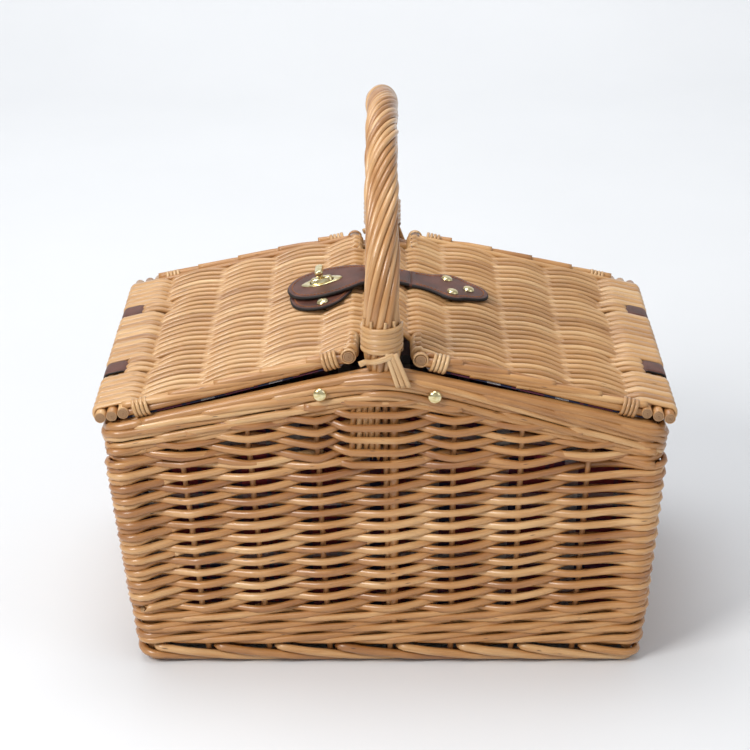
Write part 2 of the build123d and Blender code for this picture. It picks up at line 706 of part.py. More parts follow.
# --------------------------------------------------------------------------------------------
# Closure strap: fixed to the right lid, folded over the ridge, with its paddle on the left lid
# --------------------------------------------------------------------------------------------
def lid_top(x):
    """Height of the lids' upper faces at this X."""
    return LID_SEAT + (LID_HALF_WIDTH - abs(x)) * SLOPE + LID_TOP_RISE


strap_rise = STRAP_THICKNESS / cos(LID_ANGLE)
gap_rise = STRAP_GAP / cos(LID_ANGLE)
fold_half_gap = STRAP_GAP / 2
strap_far_x = PADDLE_X - PADDLE_RADIUS
root_tip_x = ROOT_RIVETS[-1][0] + ROOT_LOBE_RADII[-1]

with BuildPart() as strap_flap:
    ramp_start, ramp_end = PADDLE_RAMP
    paddle_rise = PADDLE_LIFT / cos(LID_ANGLE)
    under = [
        (STRAP_FOLD_X - fold_half_gap, gap_rise),
        (0, gap_rise),
        (ramp_start, gap_rise),
        (ramp_end, paddle_rise),
        (strap_far_x, paddle_rise),
    ]
    lower = [(x, lid_top(x) + rise) for x, rise in under]
    upper = [(x, z + strap_rise) for x, z in lower]
    with BuildSketch(Plane.XZ.offset(-STRAP_Y)):
        with BuildLine():
            Polyline(*lower, *reversed(upper), close=True)
        make_face()
    extrude(amount=PADDLE_RADIUS, both=True)
    with BuildSketch(Plane.XY):
        with Locations(((STRAP_FOLD_X + PADDLE_X) / 2, STRAP_Y)):
            Rectangle(STRAP_FOLD_X - PADDLE_X, 2 * STRAP_HALF_WIDTH)
        with Locations((PADDLE_X, STRAP_Y)):
            Circle(PADDLE_RADIUS)
    extrude(amount=HANDLE_TOP, mode=Mode.INTERSECT)
    with BuildSketch(left_top):
        with Locations((LOCK_U, STRAP_Y)):
            SlotOverall(EYELET_SLOT[0], EYELET_SLOT[1])
    extrude(amount=lock_block_top, mode=Mode.SUBTRACT)
save(strap_flap.part, "strap_flap")

with BuildPart() as eyelet_plate:
    with BuildSketch(left_top.offset(PADDLE_LIFT + STRAP_THICKNESS)):
        with Locations((LOCK_U, STRAP_Y)):
            Ellipse(EYELET[0] / 2, EYELET[1] / 2)
            SlotOverall(EYELET_SLOT[0], EYELET_SLOT[1], mode=Mode.SUBTRACT)
    extrude(amount=EYELET[2])
save(eyelet_plate.part, "eyelet_plate")

right_top = lid_plane(1).offset(LID_THICKNESS)
top_shift = LID_THICKNESS * sin(LID_ANGLE)
rivet_places = [(up_lid(x - top_shift), -(STRAP_Y + y)) for x, y in ROOT_RIVETS]
rivet_seat = STRAP_GAP + STRAP_THICKNESS
strap_rivets = cut(
    rivets(right_top.offset(rivet_seat), rivet_places, rivet_seat + LID_THICKNESS),
    cross_rods(lid_plane(1), inner_places, stick_middle, LID_HALF_DEPTH, STICK_RADIUS + TUNNEL_FIT),
)
save(strap_rivets, "strap_rivets")
save(cut(lid_weaves[1], strap_rivets), "right_lid_weave")

with BuildPart() as strap_root:
    under = [(STRAP_FOLD_X + fold_half_gap, gap_rise), (root_tip_x, gap_rise)]
    lower = [(x, lid_top(x) + rise) for x, rise in under]
    upper = [(x, z + strap_rise) for x, z in lower]
    with BuildSketch(Plane.XZ.offset(-STRAP_Y)):
        with BuildLine():
            Polyline(*lower, *reversed(upper), close=True)
        make_face()
    extrude(amount=PADDLE_RADIUS, both=True)
    with BuildSketch(Plane.XY):
        root_neck = ROOT_RIVETS[0][0]
        with Locations(((STRAP_FOLD_X + root_neck) / 2, STRAP_Y)):
            Rectangle(root_neck - STRAP_FOLD_X, 2 * STRAP_HALF_WIDTH)
        for (x, y), radius in zip(ROOT_RIVETS, ROOT_LOBE_RADII):
            with Locations((x, STRAP_Y + y)):
                Circle(radius)
        with BuildLine():
            Polyline(*[(x, STRAP_Y + y) for x, y in ROOT_RIVETS], close=True)
        make_face()
    extrude(amount=HANDLE_TOP, mode=Mode.INTERSECT)
    add(strap_rivets, mode=Mode.SUBTRACT)
save(strap_root.part, "strap_root")
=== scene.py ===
"""Looks of the twin-lid willow picnic basket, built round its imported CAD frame.

Metres, in the frame's axes: +X to the right lid, +Y to the back, +Z up. Every rod of the weave is
a swept tube, so the pattern seen is real geometry. Sizes and places come from the CAD nodes.
"""

import json
import math

import bmesh
import bpy
import numpy as np
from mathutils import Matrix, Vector


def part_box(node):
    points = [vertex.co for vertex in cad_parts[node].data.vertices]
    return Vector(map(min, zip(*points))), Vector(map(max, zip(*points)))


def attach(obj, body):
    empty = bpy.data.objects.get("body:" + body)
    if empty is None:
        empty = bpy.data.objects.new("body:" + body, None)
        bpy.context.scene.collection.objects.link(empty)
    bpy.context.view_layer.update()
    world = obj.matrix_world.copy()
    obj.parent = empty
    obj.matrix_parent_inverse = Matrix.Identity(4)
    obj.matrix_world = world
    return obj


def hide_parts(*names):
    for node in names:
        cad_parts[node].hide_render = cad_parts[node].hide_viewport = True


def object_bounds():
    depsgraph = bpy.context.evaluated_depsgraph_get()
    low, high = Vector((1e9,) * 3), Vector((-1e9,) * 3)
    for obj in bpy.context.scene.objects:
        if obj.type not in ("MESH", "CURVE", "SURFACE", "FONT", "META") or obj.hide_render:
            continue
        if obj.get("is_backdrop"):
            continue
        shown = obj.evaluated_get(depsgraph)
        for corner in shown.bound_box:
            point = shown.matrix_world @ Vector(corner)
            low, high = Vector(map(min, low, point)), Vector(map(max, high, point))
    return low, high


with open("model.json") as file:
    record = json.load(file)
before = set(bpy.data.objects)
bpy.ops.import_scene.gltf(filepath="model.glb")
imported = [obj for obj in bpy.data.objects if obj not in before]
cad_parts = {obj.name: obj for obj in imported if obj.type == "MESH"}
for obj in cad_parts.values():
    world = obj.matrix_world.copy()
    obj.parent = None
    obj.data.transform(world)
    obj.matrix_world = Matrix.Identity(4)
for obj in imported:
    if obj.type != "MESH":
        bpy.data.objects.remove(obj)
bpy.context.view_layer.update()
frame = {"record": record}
rng = np.random.default_rng(41)
MM = 0.001


def corners(node):
    """Lowest and highest corner of a CAD node, as arrays."""
    low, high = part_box(node)
    return np.array(low), np.array(high)


def joint(name):
    return next(j for j in frame["record"]["behaviour"]["joints"] if j["name"] == name)


# ---- Driving sizes, read from the frame ----
_, foot_high = corners("foot_border")
_, rim_high = corners("right_rim")
_, gable_high = corners("front_rim_right")
_, wale_high = corners("lower_wale")
bow_low, bow_high = corners("handle_bow")
HINGE = np.array(joint("right_lid_hinge")["pos_m"])

WALL = 13 * MM
RIM_Z = rim_high[2] - 1.0 * MM
PEAK_Z = gable_high[2] - 0.7 * MM
RIM_HALF_W = gable_high[0]
FOOT_Z = foot_high[2] - 1.0 * MM
LEAN_X = (RIM_HALF_W - foot_high[0]) / (RIM_Z - FOOT_Z)
BASE_HALF_W = foot_high[0] - LEAN_X * FOOT_Z
BASE_HALF_D = foot_high[1] - 0.056 * FOOT_Z
LEAN_Y = (rim_high[1] - foot_high[1]) / (RIM_Z - FOOT_Z)
SLOPE = (PEAK_Z - RIM_Z) / RIM_HALF_W
LID_ANGLE = math.atan(SLOPE)
RIM_DROP = 28 * MM
GABLE_STAKES, SIDE_STAKES = 7, 5
ROUND = 2 * (GABLE_STAKES + SIDE_STAKES) + 4  # stakes and corner posts all the way round
CORNERS = (0, GABLE_STAKES + 1, GABLE_STAKES + SIDE_STAKES + 2, 2 * GABLE_STAKES + SIDE_STAKES + 3)


def half_w(z):
    """Half width of the walls' middle surface at this height."""
    return BASE_HALF_W + LEAN_X * z - WALL / 2


def half_d(z):
    return BASE_HALF_D + LEAN_Y * z - WALL / 2


# ---- Rods: swept tubes that carry the coordinates their material reads ----
def unit(v):
    return v / np.maximum(np.linalg.norm(v, axis=-1, keepdims=True), 1e-12)


class Bundle:
    """Collects rods into one mesh. Each vertex knows how far along and round its rod it lies."""

    def __init__(self):
        self.points, self.quads, self.fans = [], [], []
        self.grain, self.tone = [], []
        self.total = 0

    def rod(self, path, radius, outward, flat=1.0, sides=8, tone=None, swell=0.05, spin=0.0):
        """Sweeps a rod. outward is a direction across it, and flat squeezes it along that."""
        path = np.asarray(path, float)
        count = len(path)
        tangent = unit(np.gradient(path, axis=0))
        outward = np.broadcast_to(np.asarray(outward, float), path.shape)
        side = unit(np.cross(tangent, outward))
        up = np.cross(side, tangent)
        along = np.concatenate([[0], np.cumsum(np.linalg.norm(np.diff(path, axis=0), axis=1))])
        start = rng.uniform(0, 50)
        wobble = 1 + swell * np.sin(along * rng.uniform(25, 60) + rng.uniform(0, 6.28))
        radius = np.broadcast_to(radius, (count,)) * wobble
        flat = np.broadcast_to(flat, (count,))[:, None, None]
        angle = np.arange(sides) * 2 * np.pi / sides + spin
        ring = (
            np.cos(angle)[None, :, None] * up[:, None, :] * flat
            + np.sin(angle)[None, :, None] * side[:, None, :]
        ) * radius[:, None, None]
        points = path[:, None, :] + ring
        tone = rng.uniform(0, 1) if tone is None else tone
        grain = np.empty((count, sides, 3))
        grain[..., 0] = (along + start)[:, None]
        grain[..., 1] = np.cos(angle)
        grain[..., 2] = np.sin(angle)
        base = self.total
        index = base + np.arange(count * sides).reshape(count, sides)
        nxt = np.roll(index, -1, axis=1)
        self.quads.append(
            np.stack([index[:-1], nxt[:-1], nxt[1:], index[1:]], axis=-1).reshape(-1, 4)[:, ::-1]
        )
        self.points.append(points.reshape(-1, 3))
        self.grain.append(grain.reshape(-1, 3))
        # Cut ends: a slightly domed cap with a vertex in its middle.
        tips = np.array([path[0] - tangent[0] * radius[0] * 0.12, path[-1] + tangent[-1] * radius[-1] * 0.12])
        self.points.append(tips)
        self.grain.append(np.array([[start, 0, 0], [start + along[-1], 0, 0]]))
        first, last = base + count * sides, base + count * sides + 1
        self.fans.append(np.stack([index[0], nxt[0], np.full(sides, first)], axis=-1))
        self.fans.append(np.stack([nxt[-1], index[-1], np.full(sides, last)], axis=-1))
        self.tone.append(np.full(count * sides + 2, tone))
        self.total += count * sides + 2

    def piece(self, name, material, end_material=None):
        """Makes the mesh object."""
        points = np.concatenate(self.points)
        quads, fans = np.concatenate(self.quads), np.concatenate(self.fans)
        mesh = bpy.data.meshes.new(name)
        mesh.vertices.add(len(points))
        mesh.vertices.foreach_set("co", points.astype(np.float32).ravel())
        loops = np.concatenate([quads.ravel(), fans.ravel()]).astype(np.int32)
        mesh.loops.add(len(loops))
        mesh.loops.foreach_set("vertex_index", loops)
        totals = np.concatenate([np.full(len(quads), 4), np.full(len(fans), 3)])
        starts = np.concatenate([[0], np.cumsum(totals)[:-1]]).astype(np.int32)
        mesh.polygons.add(len(totals))
        mesh.polygons.foreach_set("loop_start", starts)
        mesh.update(calc_edges=True)
        mesh.attributes.new("grain", "FLOAT_VECTOR", "POINT").data.foreach_set(
            "vector", np.concatenate(self.grain).astype(np.float32).ravel()
        )
        mesh.attributes.new("tone", "FLOAT", "POINT").data.foreach_set(
            "value", np.concatenate(self.tone).astype(np.float32)
        )
        smooth = np.concatenate([np.ones(len(quads), bool), np.zeros(len(fans), bool)])
        mesh.polygons.foreach_set("use_smooth", smooth)
        mesh.materials.append(material)
        if end_material:
            mesh.materials.append(end_material)
            slots = np.concatenate([np.zeros(len(quads), int), np.ones(len(fans), int)])
            mesh.polygons.foreach_set("material_index", slots.astype(np.int32))
        mesh.validate()
        made = bpy.data.objects.new(name, mesh)
        bpy.context.scene.collection.objects.link(made)
        return made


def settle(piece, body, slot, *nodes):
    """The piece rides on a body and stands for CAD nodes, which it hides. The slot argument is not used."""
    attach(piece, body)
    if nodes:
        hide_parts(*nodes)
    return piece


# ---- Materials ----
class Nodes:
    """A short way to write a node tree."""

    def __init__(self, name):
        self.material = bpy.data.materials.new(name)
        self.material.use_nodes = True
        self.tree = self.material.node_tree
        self.shader = self.tree.nodes["Principled BSDF"]

    def new(self, kind, inputs=None, **settings):
        node = self.tree.nodes.new(kind)
        for key, value in settings.items():
            setattr(node, key, value)
        for key, value in (inputs or {}).items():
            if isinstance(value, bpy.types.NodeSocket):
                self.tree.links.new(value, node.inputs[key])
            else:
                node.inputs[key].default_value = value
        return node

    def math(self, operation, a, b=0.0, c=0.0):
        node = self.new("ShaderNodeMath", {0: a, 1: b, 2: c}, operation=operation)
        return node.outputs[0]

    def mix(self, factor, a, b, blend="MIX"):
        node = self.new("ShaderNodeMix", {0: factor, 6: a, 7: b}, data_type="RGBA", blend_type=blend)
        return node.outputs[2]

    def ramp(self, factor, stops):
        node = self.new("ShaderNodeValToRGB", {0: factor})
        while len(node.color_ramp.elements) < len(stops):
            node.color_ramp.elements.new(0.5)
        for element, (position, colour) in zip(node.color_ramp.elements, stops):
            element.position = position
            element.color = (*colour, 1)
        return node.outputs[0]

    def scaled(self, vector, scale):
        return self.new("ShaderNodeMapping", {"Vector": vector, "Scale": scale}).outputs[0]

    def attribute(self, name, output="Vector"):
        return self.new("ShaderNodeAttribute", attribute_name=name).outputs[output]

    def noise(self, vector, scale, detail=2.0, roughness=0.5):
        inputs = {"Vector": vector, "Scale": scale, "Detail": detail, "Roughness": roughness}
        return self.new("ShaderNodeTexNoise", inputs).outputs["Fac"]

    def bump(self, height, strength, distance):
        inputs = {"Height": height, "Strength": strength, "Distance": distance}
        return self.new("ShaderNodeBump", inputs).outputs[0]

    def set(self, **sockets):
        for name, value in sockets.items():
            socket = self.shader.inputs[name.replace("_", " ")]
            if isinstance(value, bpy.types.NodeSocket):
                self.tree.links.new(value, socket)
            else:
                socket.default_value = value


def willow(name, dark, middle, light, gloss=0.38, knots=1.0):
    """Varnished willow: tone by rod, streaks along it, patches and small dark knots."""
    n = Nodes(name)
    grain = n.attribute("grain")
    tone = n.attribute("tone", "Fac")
    place = n.new("ShaderNodeTexCoord").outputs["Object"]
    patches = n.noise(place, 14.0, 3.0)
    along = n.noise(n.scaled(grain, (26, 0.6, 0.6)), 1.0, 3.0)
    streak = n.noise(n.scaled(grain, (22, 4.0, 4.0)), 1.6, 4.0, 0.65)
    value = n.math("MULTIPLY_ADD", tone, 0.42, n.math("MULTIPLY", patches, 0.4))
    value = n.math("MULTIPLY_ADD", along, 0.6, value)
    value = n.math("SUBTRACT", value, 0.22)
    base = n.ramp(value, [(0.12, dark), (0.5, middle), (0.88, light)])
    fine = n.ramp(streak, [(0.3, (0.72, 0.64, 0.55)), (0.62, (1.0, 1.0, 1.0))])
    colour = n.mix(0.75, base, fine, "MULTIPLY")
    cells = n.new(
        "ShaderNodeTexVoronoi",
        {"Vector": n.scaled(grain, (42, 0.9, 0.9)), "Scale": 1.0, "Randomness": 1.0},
    )
    cell_value = n.new("ShaderNodeSeparateColor", {0: cells.outputs["Color"]}).outputs[0]
    chosen = n.math("GREATER_THAN", cell_value, 0.55)
    spot = n.math("SUBTRACT", 1.0, n.math("DIVIDE", cells.outputs["Distance"], 0.13))
    spot = n.math("MULTIPLY", n.math("MAXIMUM", spot, 0.0), chosen)
    spot = n.math("MULTIPLY", n.math("MINIMUM", n.math("MULTIPLY", spot, 2.2), 1.0), 0.8 * knots)
    colour = n.mix(spot, colour, (0.12, 0.05, 0.02, 1))
    rough = n.math("MULTIPLY_ADD", streak, 0.2, gloss - 0.06)
    height = n.math("SUBTRACT", streak, n.math("MULTIPLY", spot, 0.6))
    n.set(Base_Color=colour, Roughness=rough, Normal=n.bump(height, 0.35, 0.0006))
    n.set(Coat_Weight=0.6, Coat_Roughness=0.2, Specular_IOR_Level=0.5)
    return n.material


def end_grain():
    """Cut rod ends: pale wood with growth rings, a darker bark edge and pith."""
    n = Nodes("willow_end_grain")
    grain = n.attribute("grain")
    split = n.new("ShaderNodeSeparateXYZ", {0: grain})
    squares = [n.math("POWER", split.outputs[axis], 2.0) for axis in (1, 2)]
    radial = n.math("SQRT", n.math("ADD", *squares))
    wobble = n.math("MULTIPLY", n.noise(grain, 3.0, 2.0), 0.22)
    rings = n.math("SINE", n.math("MULTIPLY", n.math("ADD", radial, wobble), 21.0))
    tone = n.math("MULTIPLY_ADD", rings, 0.42, 0.5)
    colour = n.ramp(tone, [(0.15, (0.13, 0.055, 0.022)), (0.85, (0.5, 0.3, 0.15))])
    pith, bark, plain = (0.3, 0.2, 0.12), (1.5, 1.45, 1.35), (1, 1, 1)
    edge = n.ramp(radial, [(0.06, pith), (0.2, plain), (0.86, plain), (1.0, bark)])
    n.set(Base_Color=n.mix(1.0, colour, edge, "MULTIPLY"), Roughness=0.75)
    n.set(Normal=n.bump(rings, 0.3, 0.0004))
    return n.material


def leather(name, colour, rough=0.48):
    """Smooth brown leather with fine grain, pores and rubbed patches; the grain's creases carry painted
    shade.
    """
    n = Nodes(name)
    place = n.new("ShaderNodeTexCoord").outputs["Object"]
    cells = n.new("ShaderNodeTexVoronoi", {"Vector": place, "Scale": 900.0}, feature="DISTANCE_TO_EDGE")
    creases = n.math("MINIMUM", n.math("MULTIPLY", cells.outputs["Distance"], 5.0), 1.0)
    patches = n.noise(place, 55.0, 4.0)
    dark = tuple(c * 0.6 for c in colour)
    pale = tuple(min(1, c * 1.35 + 0.015) for c in colour)
    base = n.ramp(patches, [(0.3, dark), (0.5, colour), (0.72, pale)])
    # The grain's creases are darkened in the colour: painted shade.
    painted_crease_shade = n.ramp(creases, [(0.0, (0.55, 0.5, 0.5)), (0.6, (1, 1, 1))])
    n.set(Base_Color=n.mix(0.3, base, painted_crease_shade, "MULTIPLY"))
    n.set(Roughness=n.math("MULTIPLY_ADD", patches, 0.24, rough - 0.12))
    n.set(Normal=n.bump(creases, 0.25, 0.0002), Specular_IOR_Level=0.4)
    return n.material


def brass():
    """Polished pale brass with light smears."""
    n = Nodes("polished_brass")
    place = n.new("ShaderNodeTexCoord").outputs["Object"]
    smear = n.noise(n.scaled(place, (220, 220, 480)), 1.0, 4.0)
    deep, bright, pale = (0.62, 0.48, 0.2), (0.86, 0.76, 0.46), (0.93, 0.87, 0.62)
    n.set(Base_Color=n.ramp(smear, [(0.3, deep), (0.6, bright), (0.8, pale)]))
    n.set(Metallic=1.0, Roughness=n.math("MULTIPLY_ADD", smear, 0.18, 0.1))
    n.set(Normal=n.bump(smear, 0.06, 0.0002))
    return n.material


def tartan():
    """Cotton in a generic check of dark red, navy and white, with its twill weave."""
    n = Nodes("tartan_cotton")
    place = n.attribute("cloth")
    split = n.new("ShaderNodeSeparateXYZ", {0: place})

    def bands(coordinate):
        phase = n.math("FRACT", n.math("MULTIPLY", coordinate, 1 / 0.056))
        node = n.new("ShaderNodeValToRGB", {0: phase})
        node.color_ramp.interpolation = "CONSTANT"
        red, navy, white = (0.3, 0.03, 0.04, 1), (0.03, 0.036, 0.1, 1), (0.78, 0.76, 0.72, 1)
        stops = [(0, red), (0.3, navy), (0.36, red), (0.42, navy), (0.58, white), (0.78, navy), (0.94, red)]
        while len(node.color_ramp.elements) < len(stops):
            node.color_ramp.elements.new(0.5)
        for element, (position, colour) in zip(node.color_ramp.elements, stops):
            element.position, element.color = position, colour
        return node.outputs[0]

    twill = n.math("FRACT", n.math("MULTIPLY", n.math("ADD", split.outputs[0], split.outputs[1]), 900.0))
    across = n.math("GREATER_THAN", twill, 0.5)
    n.set(Base_Color=n.mix(across, bands(split.outputs[0]), bands(split.outputs[1])))
    n.set(Roughness=0.9, Normal=n.bump(twill, 0.4, 0.0003), Sheen_Weight=0.25, Sheen_Roughness=0.5)
    return n.material


BODY = willow(
    "willow_body", (0.27, 0.095, 0.022), (0.52, 0.25, 0.08), (0.8, 0.52, 0.25), gloss=0.34, knots=1.25
)
LID = willow("willow_lid", (0.36, 0.17, 0.055), (0.58, 0.325, 0.13), (0.76, 0.51, 0.26), knots=0.8)
BORDER = willow("willow_border", (0.3, 0.12, 0.03), (0.54, 0.27, 0.09), (0.8, 0.53, 0.26), knots=1.1)
INNER = willow("willow_stakes", (0.26, 0.105, 0.032), (0.43, 0.2, 0.07), (0.6, 0.33, 0.14), gloss=0.45)
SKEIN = willow(
    "willow_skein", (0.36, 0.17, 0.06), (0.58, 0.33, 0.135), (0.78, 0.54, 0.29), gloss=0.28, knots=0.3
)
HANDLE = willow(
    "willow_handle", (0.26, 0.105, 0.03), (0.5, 0.25, 0.09), (0.76, 0.49, 0.24), gloss=0.27, knots=0.6
)
END = end_grain()
LEATHER = leather("brown_leather", (0.105, 0.037, 0.024))
EDGE = leather("black_leather_edge", (0.012, 0.009, 0.008), rough=0.6)
BRASS = brass()
TARTAN = tartan()
THREAD = leather("orange_brown_thread", (0.34, 0.12, 0.035), rough=0.75)


# ---- Walking round the basket ----
CORNER_ROUND = 10 * MM
FOOT_SHIFT = 4.5 * MM  # the hand-woven body stands slightly askew
SIDES = (  # direction along the wall, outward direction, stakes between the corners
    (np.array([1.0, 0]), np.array([0, -1.0]), GABLE_STAKES),
    (np.array([0, 1.0]), np.array([1.0, 0]), SIDE_STAKES),
    (np.array([-1.0, 0]), np.array([0, 1.0]), GABLE_STAKES),
    (np.array([0, -1.0]), np.array([-1.0, 0]), SIDE_STAKES),
)


def ring(u, z, out=0.0):
    """Points and outward directions at stake number u round the basket, at height z.

    out is the distance outside the walls' middle surface. The corners are rounded.
    """
    u = np.mod(np.asarray(u, float), ROUND)
    z = np.broadcast_to(np.asarray(z, float), u.shape)
    out = np.broadcast_to(np.asarray(out, float), u.shape)
    points = np.zeros((len(u), 3))
    normals = np.zeros((len(u), 3))
    limits = (*CORNERS, ROUND)
    for number, (along, away, stakes) in enumerate(SIDES):
        here = (u >= limits[number]) & (u < limits[number + 1])
        if not here.any():
            continue
        length, depth = (half_w, half_d) if number % 2 == 0 else (half_d, half_w)
        half, other = length(z[here]), depth(z[here])
        knots = np.arange(stakes + 2)
        share = np.interp(u[here] - limits[number], knots, knots * 2 / (stakes + 1) - 1)
        c = share * half
        bend = np.clip((np.abs(c) - (half - CORNER_ROUND)) / CORNER_ROUND, 0, 1) * np.pi / 4
        inside = np.abs(c) < half - CORNER_ROUND
        reach = np.where(inside, np.abs(c), half - CORNER_ROUND) + (CORNER_ROUND + out[here]) * np.sin(bend)
        height = other - CORNER_ROUND + (CORNER_ROUND + out[here]) * np.cos(bend)
        sign = np.sign(c)
        flat = (sign * reach)[:, None] * along + height[:, None] * away
        points[here, :2] = flat
        points[here, 0] += FOOT_SHIFT * (1 - z[here] / RIM_Z).clip(0, 1)
        points[here, 2] = z[here]
        normals[here, :2] = (sign * np.sin(bend))[:, None] * along + np.cos(bend)[:, None] * away
    return points, normals


def corner_swell(u):
    """1 at a corner post, falling to 0 a quarter of a stake's spacing away."""
    u = np.mod(np.asarray(u, float), ROUND)
    near = np.min([np.abs(u - c) for c in (*CORNERS, ROUND)], axis=0)
    return np.exp(-((near / 0.22) ** 2))


def rim_height(u):
    """Height of the rim's top at stake number u."""
    z = np.full(np.shape(u), RIM_Z)
    for _ in range(2):
        points, _ = ring(u, z)
        u_mod = np.mod(u, ROUND)
        gable = (u_mod < CORNERS[1]) | ((u_mod >= CORNERS[2]) & (u_mod < CORNERS[3]))
        x = np.abs(points[:, 0])
        rounded = np.sqrt(x**2 + (9 * MM) ** 2) - 2 * MM
        z = np.where(gable, PEAK_Z - np.minimum(rounded, RIM_HALF_W) * SLOPE, RIM_Z)
    return z


def slow(x, seed):
    """Smooth handmade unevenness between -1 and 1."""
    r = np.random.default_rng(seed)
    return sum(np.sin(x * f + r.uniform(0, 6.28)) for f in (0.7, 1.7, 3.1)) / 3


# ---- Stakes, corner posts and the handle's inner rods ----
STAKE_R, POST_R, WEAVER_R = 2.4 * MM, 5.0 * MM, 3.3 * MM
ROUND_STEPS = 12  # samples per stake spacing

bundle = Bundle()
for stake in range(ROUND):
    post = stake in CORNERS
    bottom = FOOT_Z - 6 * MM
    top = rim_height(np.array([float(stake)]))[0] - 16 * MM
    z = np.linspace(bottom, top, 16)
    wander = 0.012 * slow(z * 60, stake)
    points, normals = ring(np.full(16, float(stake)) + wander, z, -2.5 * MM if post else 0)
    radius = (POST_R if post else STAKE_R) * np.linspace(1.08, 0.94, 16)
    bundle.rod(points, radius, normals, tone=rng.uniform(0.2, 1.0))
settle(
    bundle.piece("stakes", INNER, END), "basket", "willow_rods",
    "front_stakes", "back_stakes", "left_stakes", "right_stakes",
    "front_corner_posts", "back_corner_posts",
)

bundle = Bundle()
for side in (-1, 1):
    core_low, core_high = corners("front_handle_core" if side < 0 else "back_handle_core")
    liner_low, liner_high = corners("front_handle_liners" if side < 0 else "back_handle_liners")
    x = (core_low[0] + core_high[0]) / 2
    z = np.linspace(core_low[2], core_high[2] + 20 * MM, 20)
    path = np.stack([np.full(20, x), side * half_d(z), z], axis=1)
    bundle.rod(path, 4.0 * MM, (0, side, 0), tone=0.3)
    liners = 5
    for index in range(liners):
        x = liner_low[0] + 2 * MM + (liner_high[0] - liner_low[0] - 2 * MM) * index / (liners - 1)
        low = liner_low[2] - rng.uniform(-6, 8) * MM
        z = np.linspace(low, liner_high[2] + 22 * MM, 14)
        taper = np.clip((z - low) / (9 * MM), 0.12, 1)
        path = np.stack([x + 0.6 * MM * np.sin(z * 60 + index), side * (half_d(z) + 1.2 * MM), z], axis=1)
        bundle.rod(path, 2.5 * MM * taper, (0, side, 0), tone=rng.uniform(0.3, 1))
settle(
    bundle.piece("handle_inner_rods", BODY, END), "basket", "willow_rods",
    "front_handle_core", "back_handle_core", "front_handle_liners", "back_handle_liners",
)

# ---- French rand: one rod per stake, each climbing one pitch for every second stake ----
RAND_BOTTOM = wale_high[2] + 2.5 * MM
RAND_TOP = RIM_Z - RIM_DROP - 1.5 * MM
RAND_PITCH = 11.3 * MM
RAND_REACH = STAKE_R + WEAVER_R - 0.6 * MM
turns = int(math.ceil((RAND_TOP - RAND_BOTTOM) / RAND_PITCH)) + 1


def rand_wave(t):
    """1 outside a stake and -1 inside the next, for a rod t stakes after it passed outside one."""
    step = np.interp(np.mod(t, 1), [0, 0.58, 1], [0, 0.5, 1])
    return np.cos(np.pi * (np.floor(t) + step))


def rand_climb(t):
    """Pitches climbed: steeply to go behind the next stake, gently to come out before the one after."""
    return np.floor(t / 2) + np.interp(np.mod(t, 2), [0, 1, 2], [0, 0.66, 1])


bundle = Bundle()
for stake in range(ROUND):
    t = np.arange(-2.0, 2 * turns, 1 / ROUND_STEPS)
    u = stake + t
    climb, wave = rand_climb(t), rand_wave(t)
    # At a corner post every rod stays outside, and the odd ones tuck in just after it.
    for post in (*CORNERS, *(c + ROUND for c in CORNERS)):
        if (post - stake) % 2 == 0:
            continue
        past = u - post
        near = np.abs(past) < 1
        base = np.floor((post - stake) / 2)
        climb[near] = base + np.interp(past[near], [-1, 0, 0.4, 1], [0, 0.5, 0.76, 1.0])
        tuck = [1, 0.8, 0.9, 0.6, -0.8, -0.4, 1]
        wave[near] = np.interp(past[near], [-1, -0.5, 0, 0.14, 0.4, 0.62, 1], tuck)
    z = RAND_BOTTOM + RAND_PITCH * climb + 0.6 * MM * slow(u * 0.9 + climb * 2.3, stake)
    keep = (z > RAND_BOTTOM - 5 * MM) & (z < RAND_TOP + 4 * MM)
    # Both ends of the rod stay hidden inside the basket.
    hidden = np.flatnonzero(keep & (wave < -0.7) & (corner_swell(u) < 0.1))
    if len(hidden) == 0 or hidden[-1] - hidden[0] < 6:
        continue
    keep[: hidden[0]] = False
    keep[hidden[-1] + 1 :] = False
    t, u, z, wave = t[keep], u[keep], z[keep], wave[keep]
    swell = corner_swell(u)
    reach = (RAND_REACH + 2.4 * MM * swell) * wave + 1.6 * MM * swell
    points, normals = ring(u, z, reach + 0.3 * MM * slow(u * 2, stake + 90))
    # A rod runs out after some stakes and another takes over from it inside.
    first = 0
    while first < len(t) - 4:
        last = first + ROUND_STEPS * 2 * int(rng.integers(4, 8))
        inside = np.flatnonzero(wave[last : last + 2 * ROUND_STEPS] < -0.9)
        last = last + int(inside[0]) if len(inside) else len(t)
        if len(t) - last < ROUND_STEPS:
            last = len(t)
        span = slice(first, last)
        size = WEAVER_R * rng.uniform(0.93, 1.06) * np.linspace(1.05, 0.94, last - first)
        bundle.rod(points[span], size, normals[span], flat=0.93)
        first = last - 3
settle(
    bundle.piece("french_rand_weave", BODY, END), "basket", "willow_weave",
    "front_weave", "back_weave", "left_weave", "right_weave",
)

# ---- Rows that fill each gable between the rand and the sloping rim ----
GABLE_PITCH = 5.6 * MM
CENTRE = (GABLE_STAKES + 1) / 2


def past_liners(u, hand):
    """The handle's inner rods and the middle stake are passed as one wide stake."""
    left, right = (0.5, 0.2) if hand < 0 else (0.2, 0.5)
    return np.interp(u, [-9, -1, -left, right, 1, 9], [-9, -1, 0, 0, 1, 9])


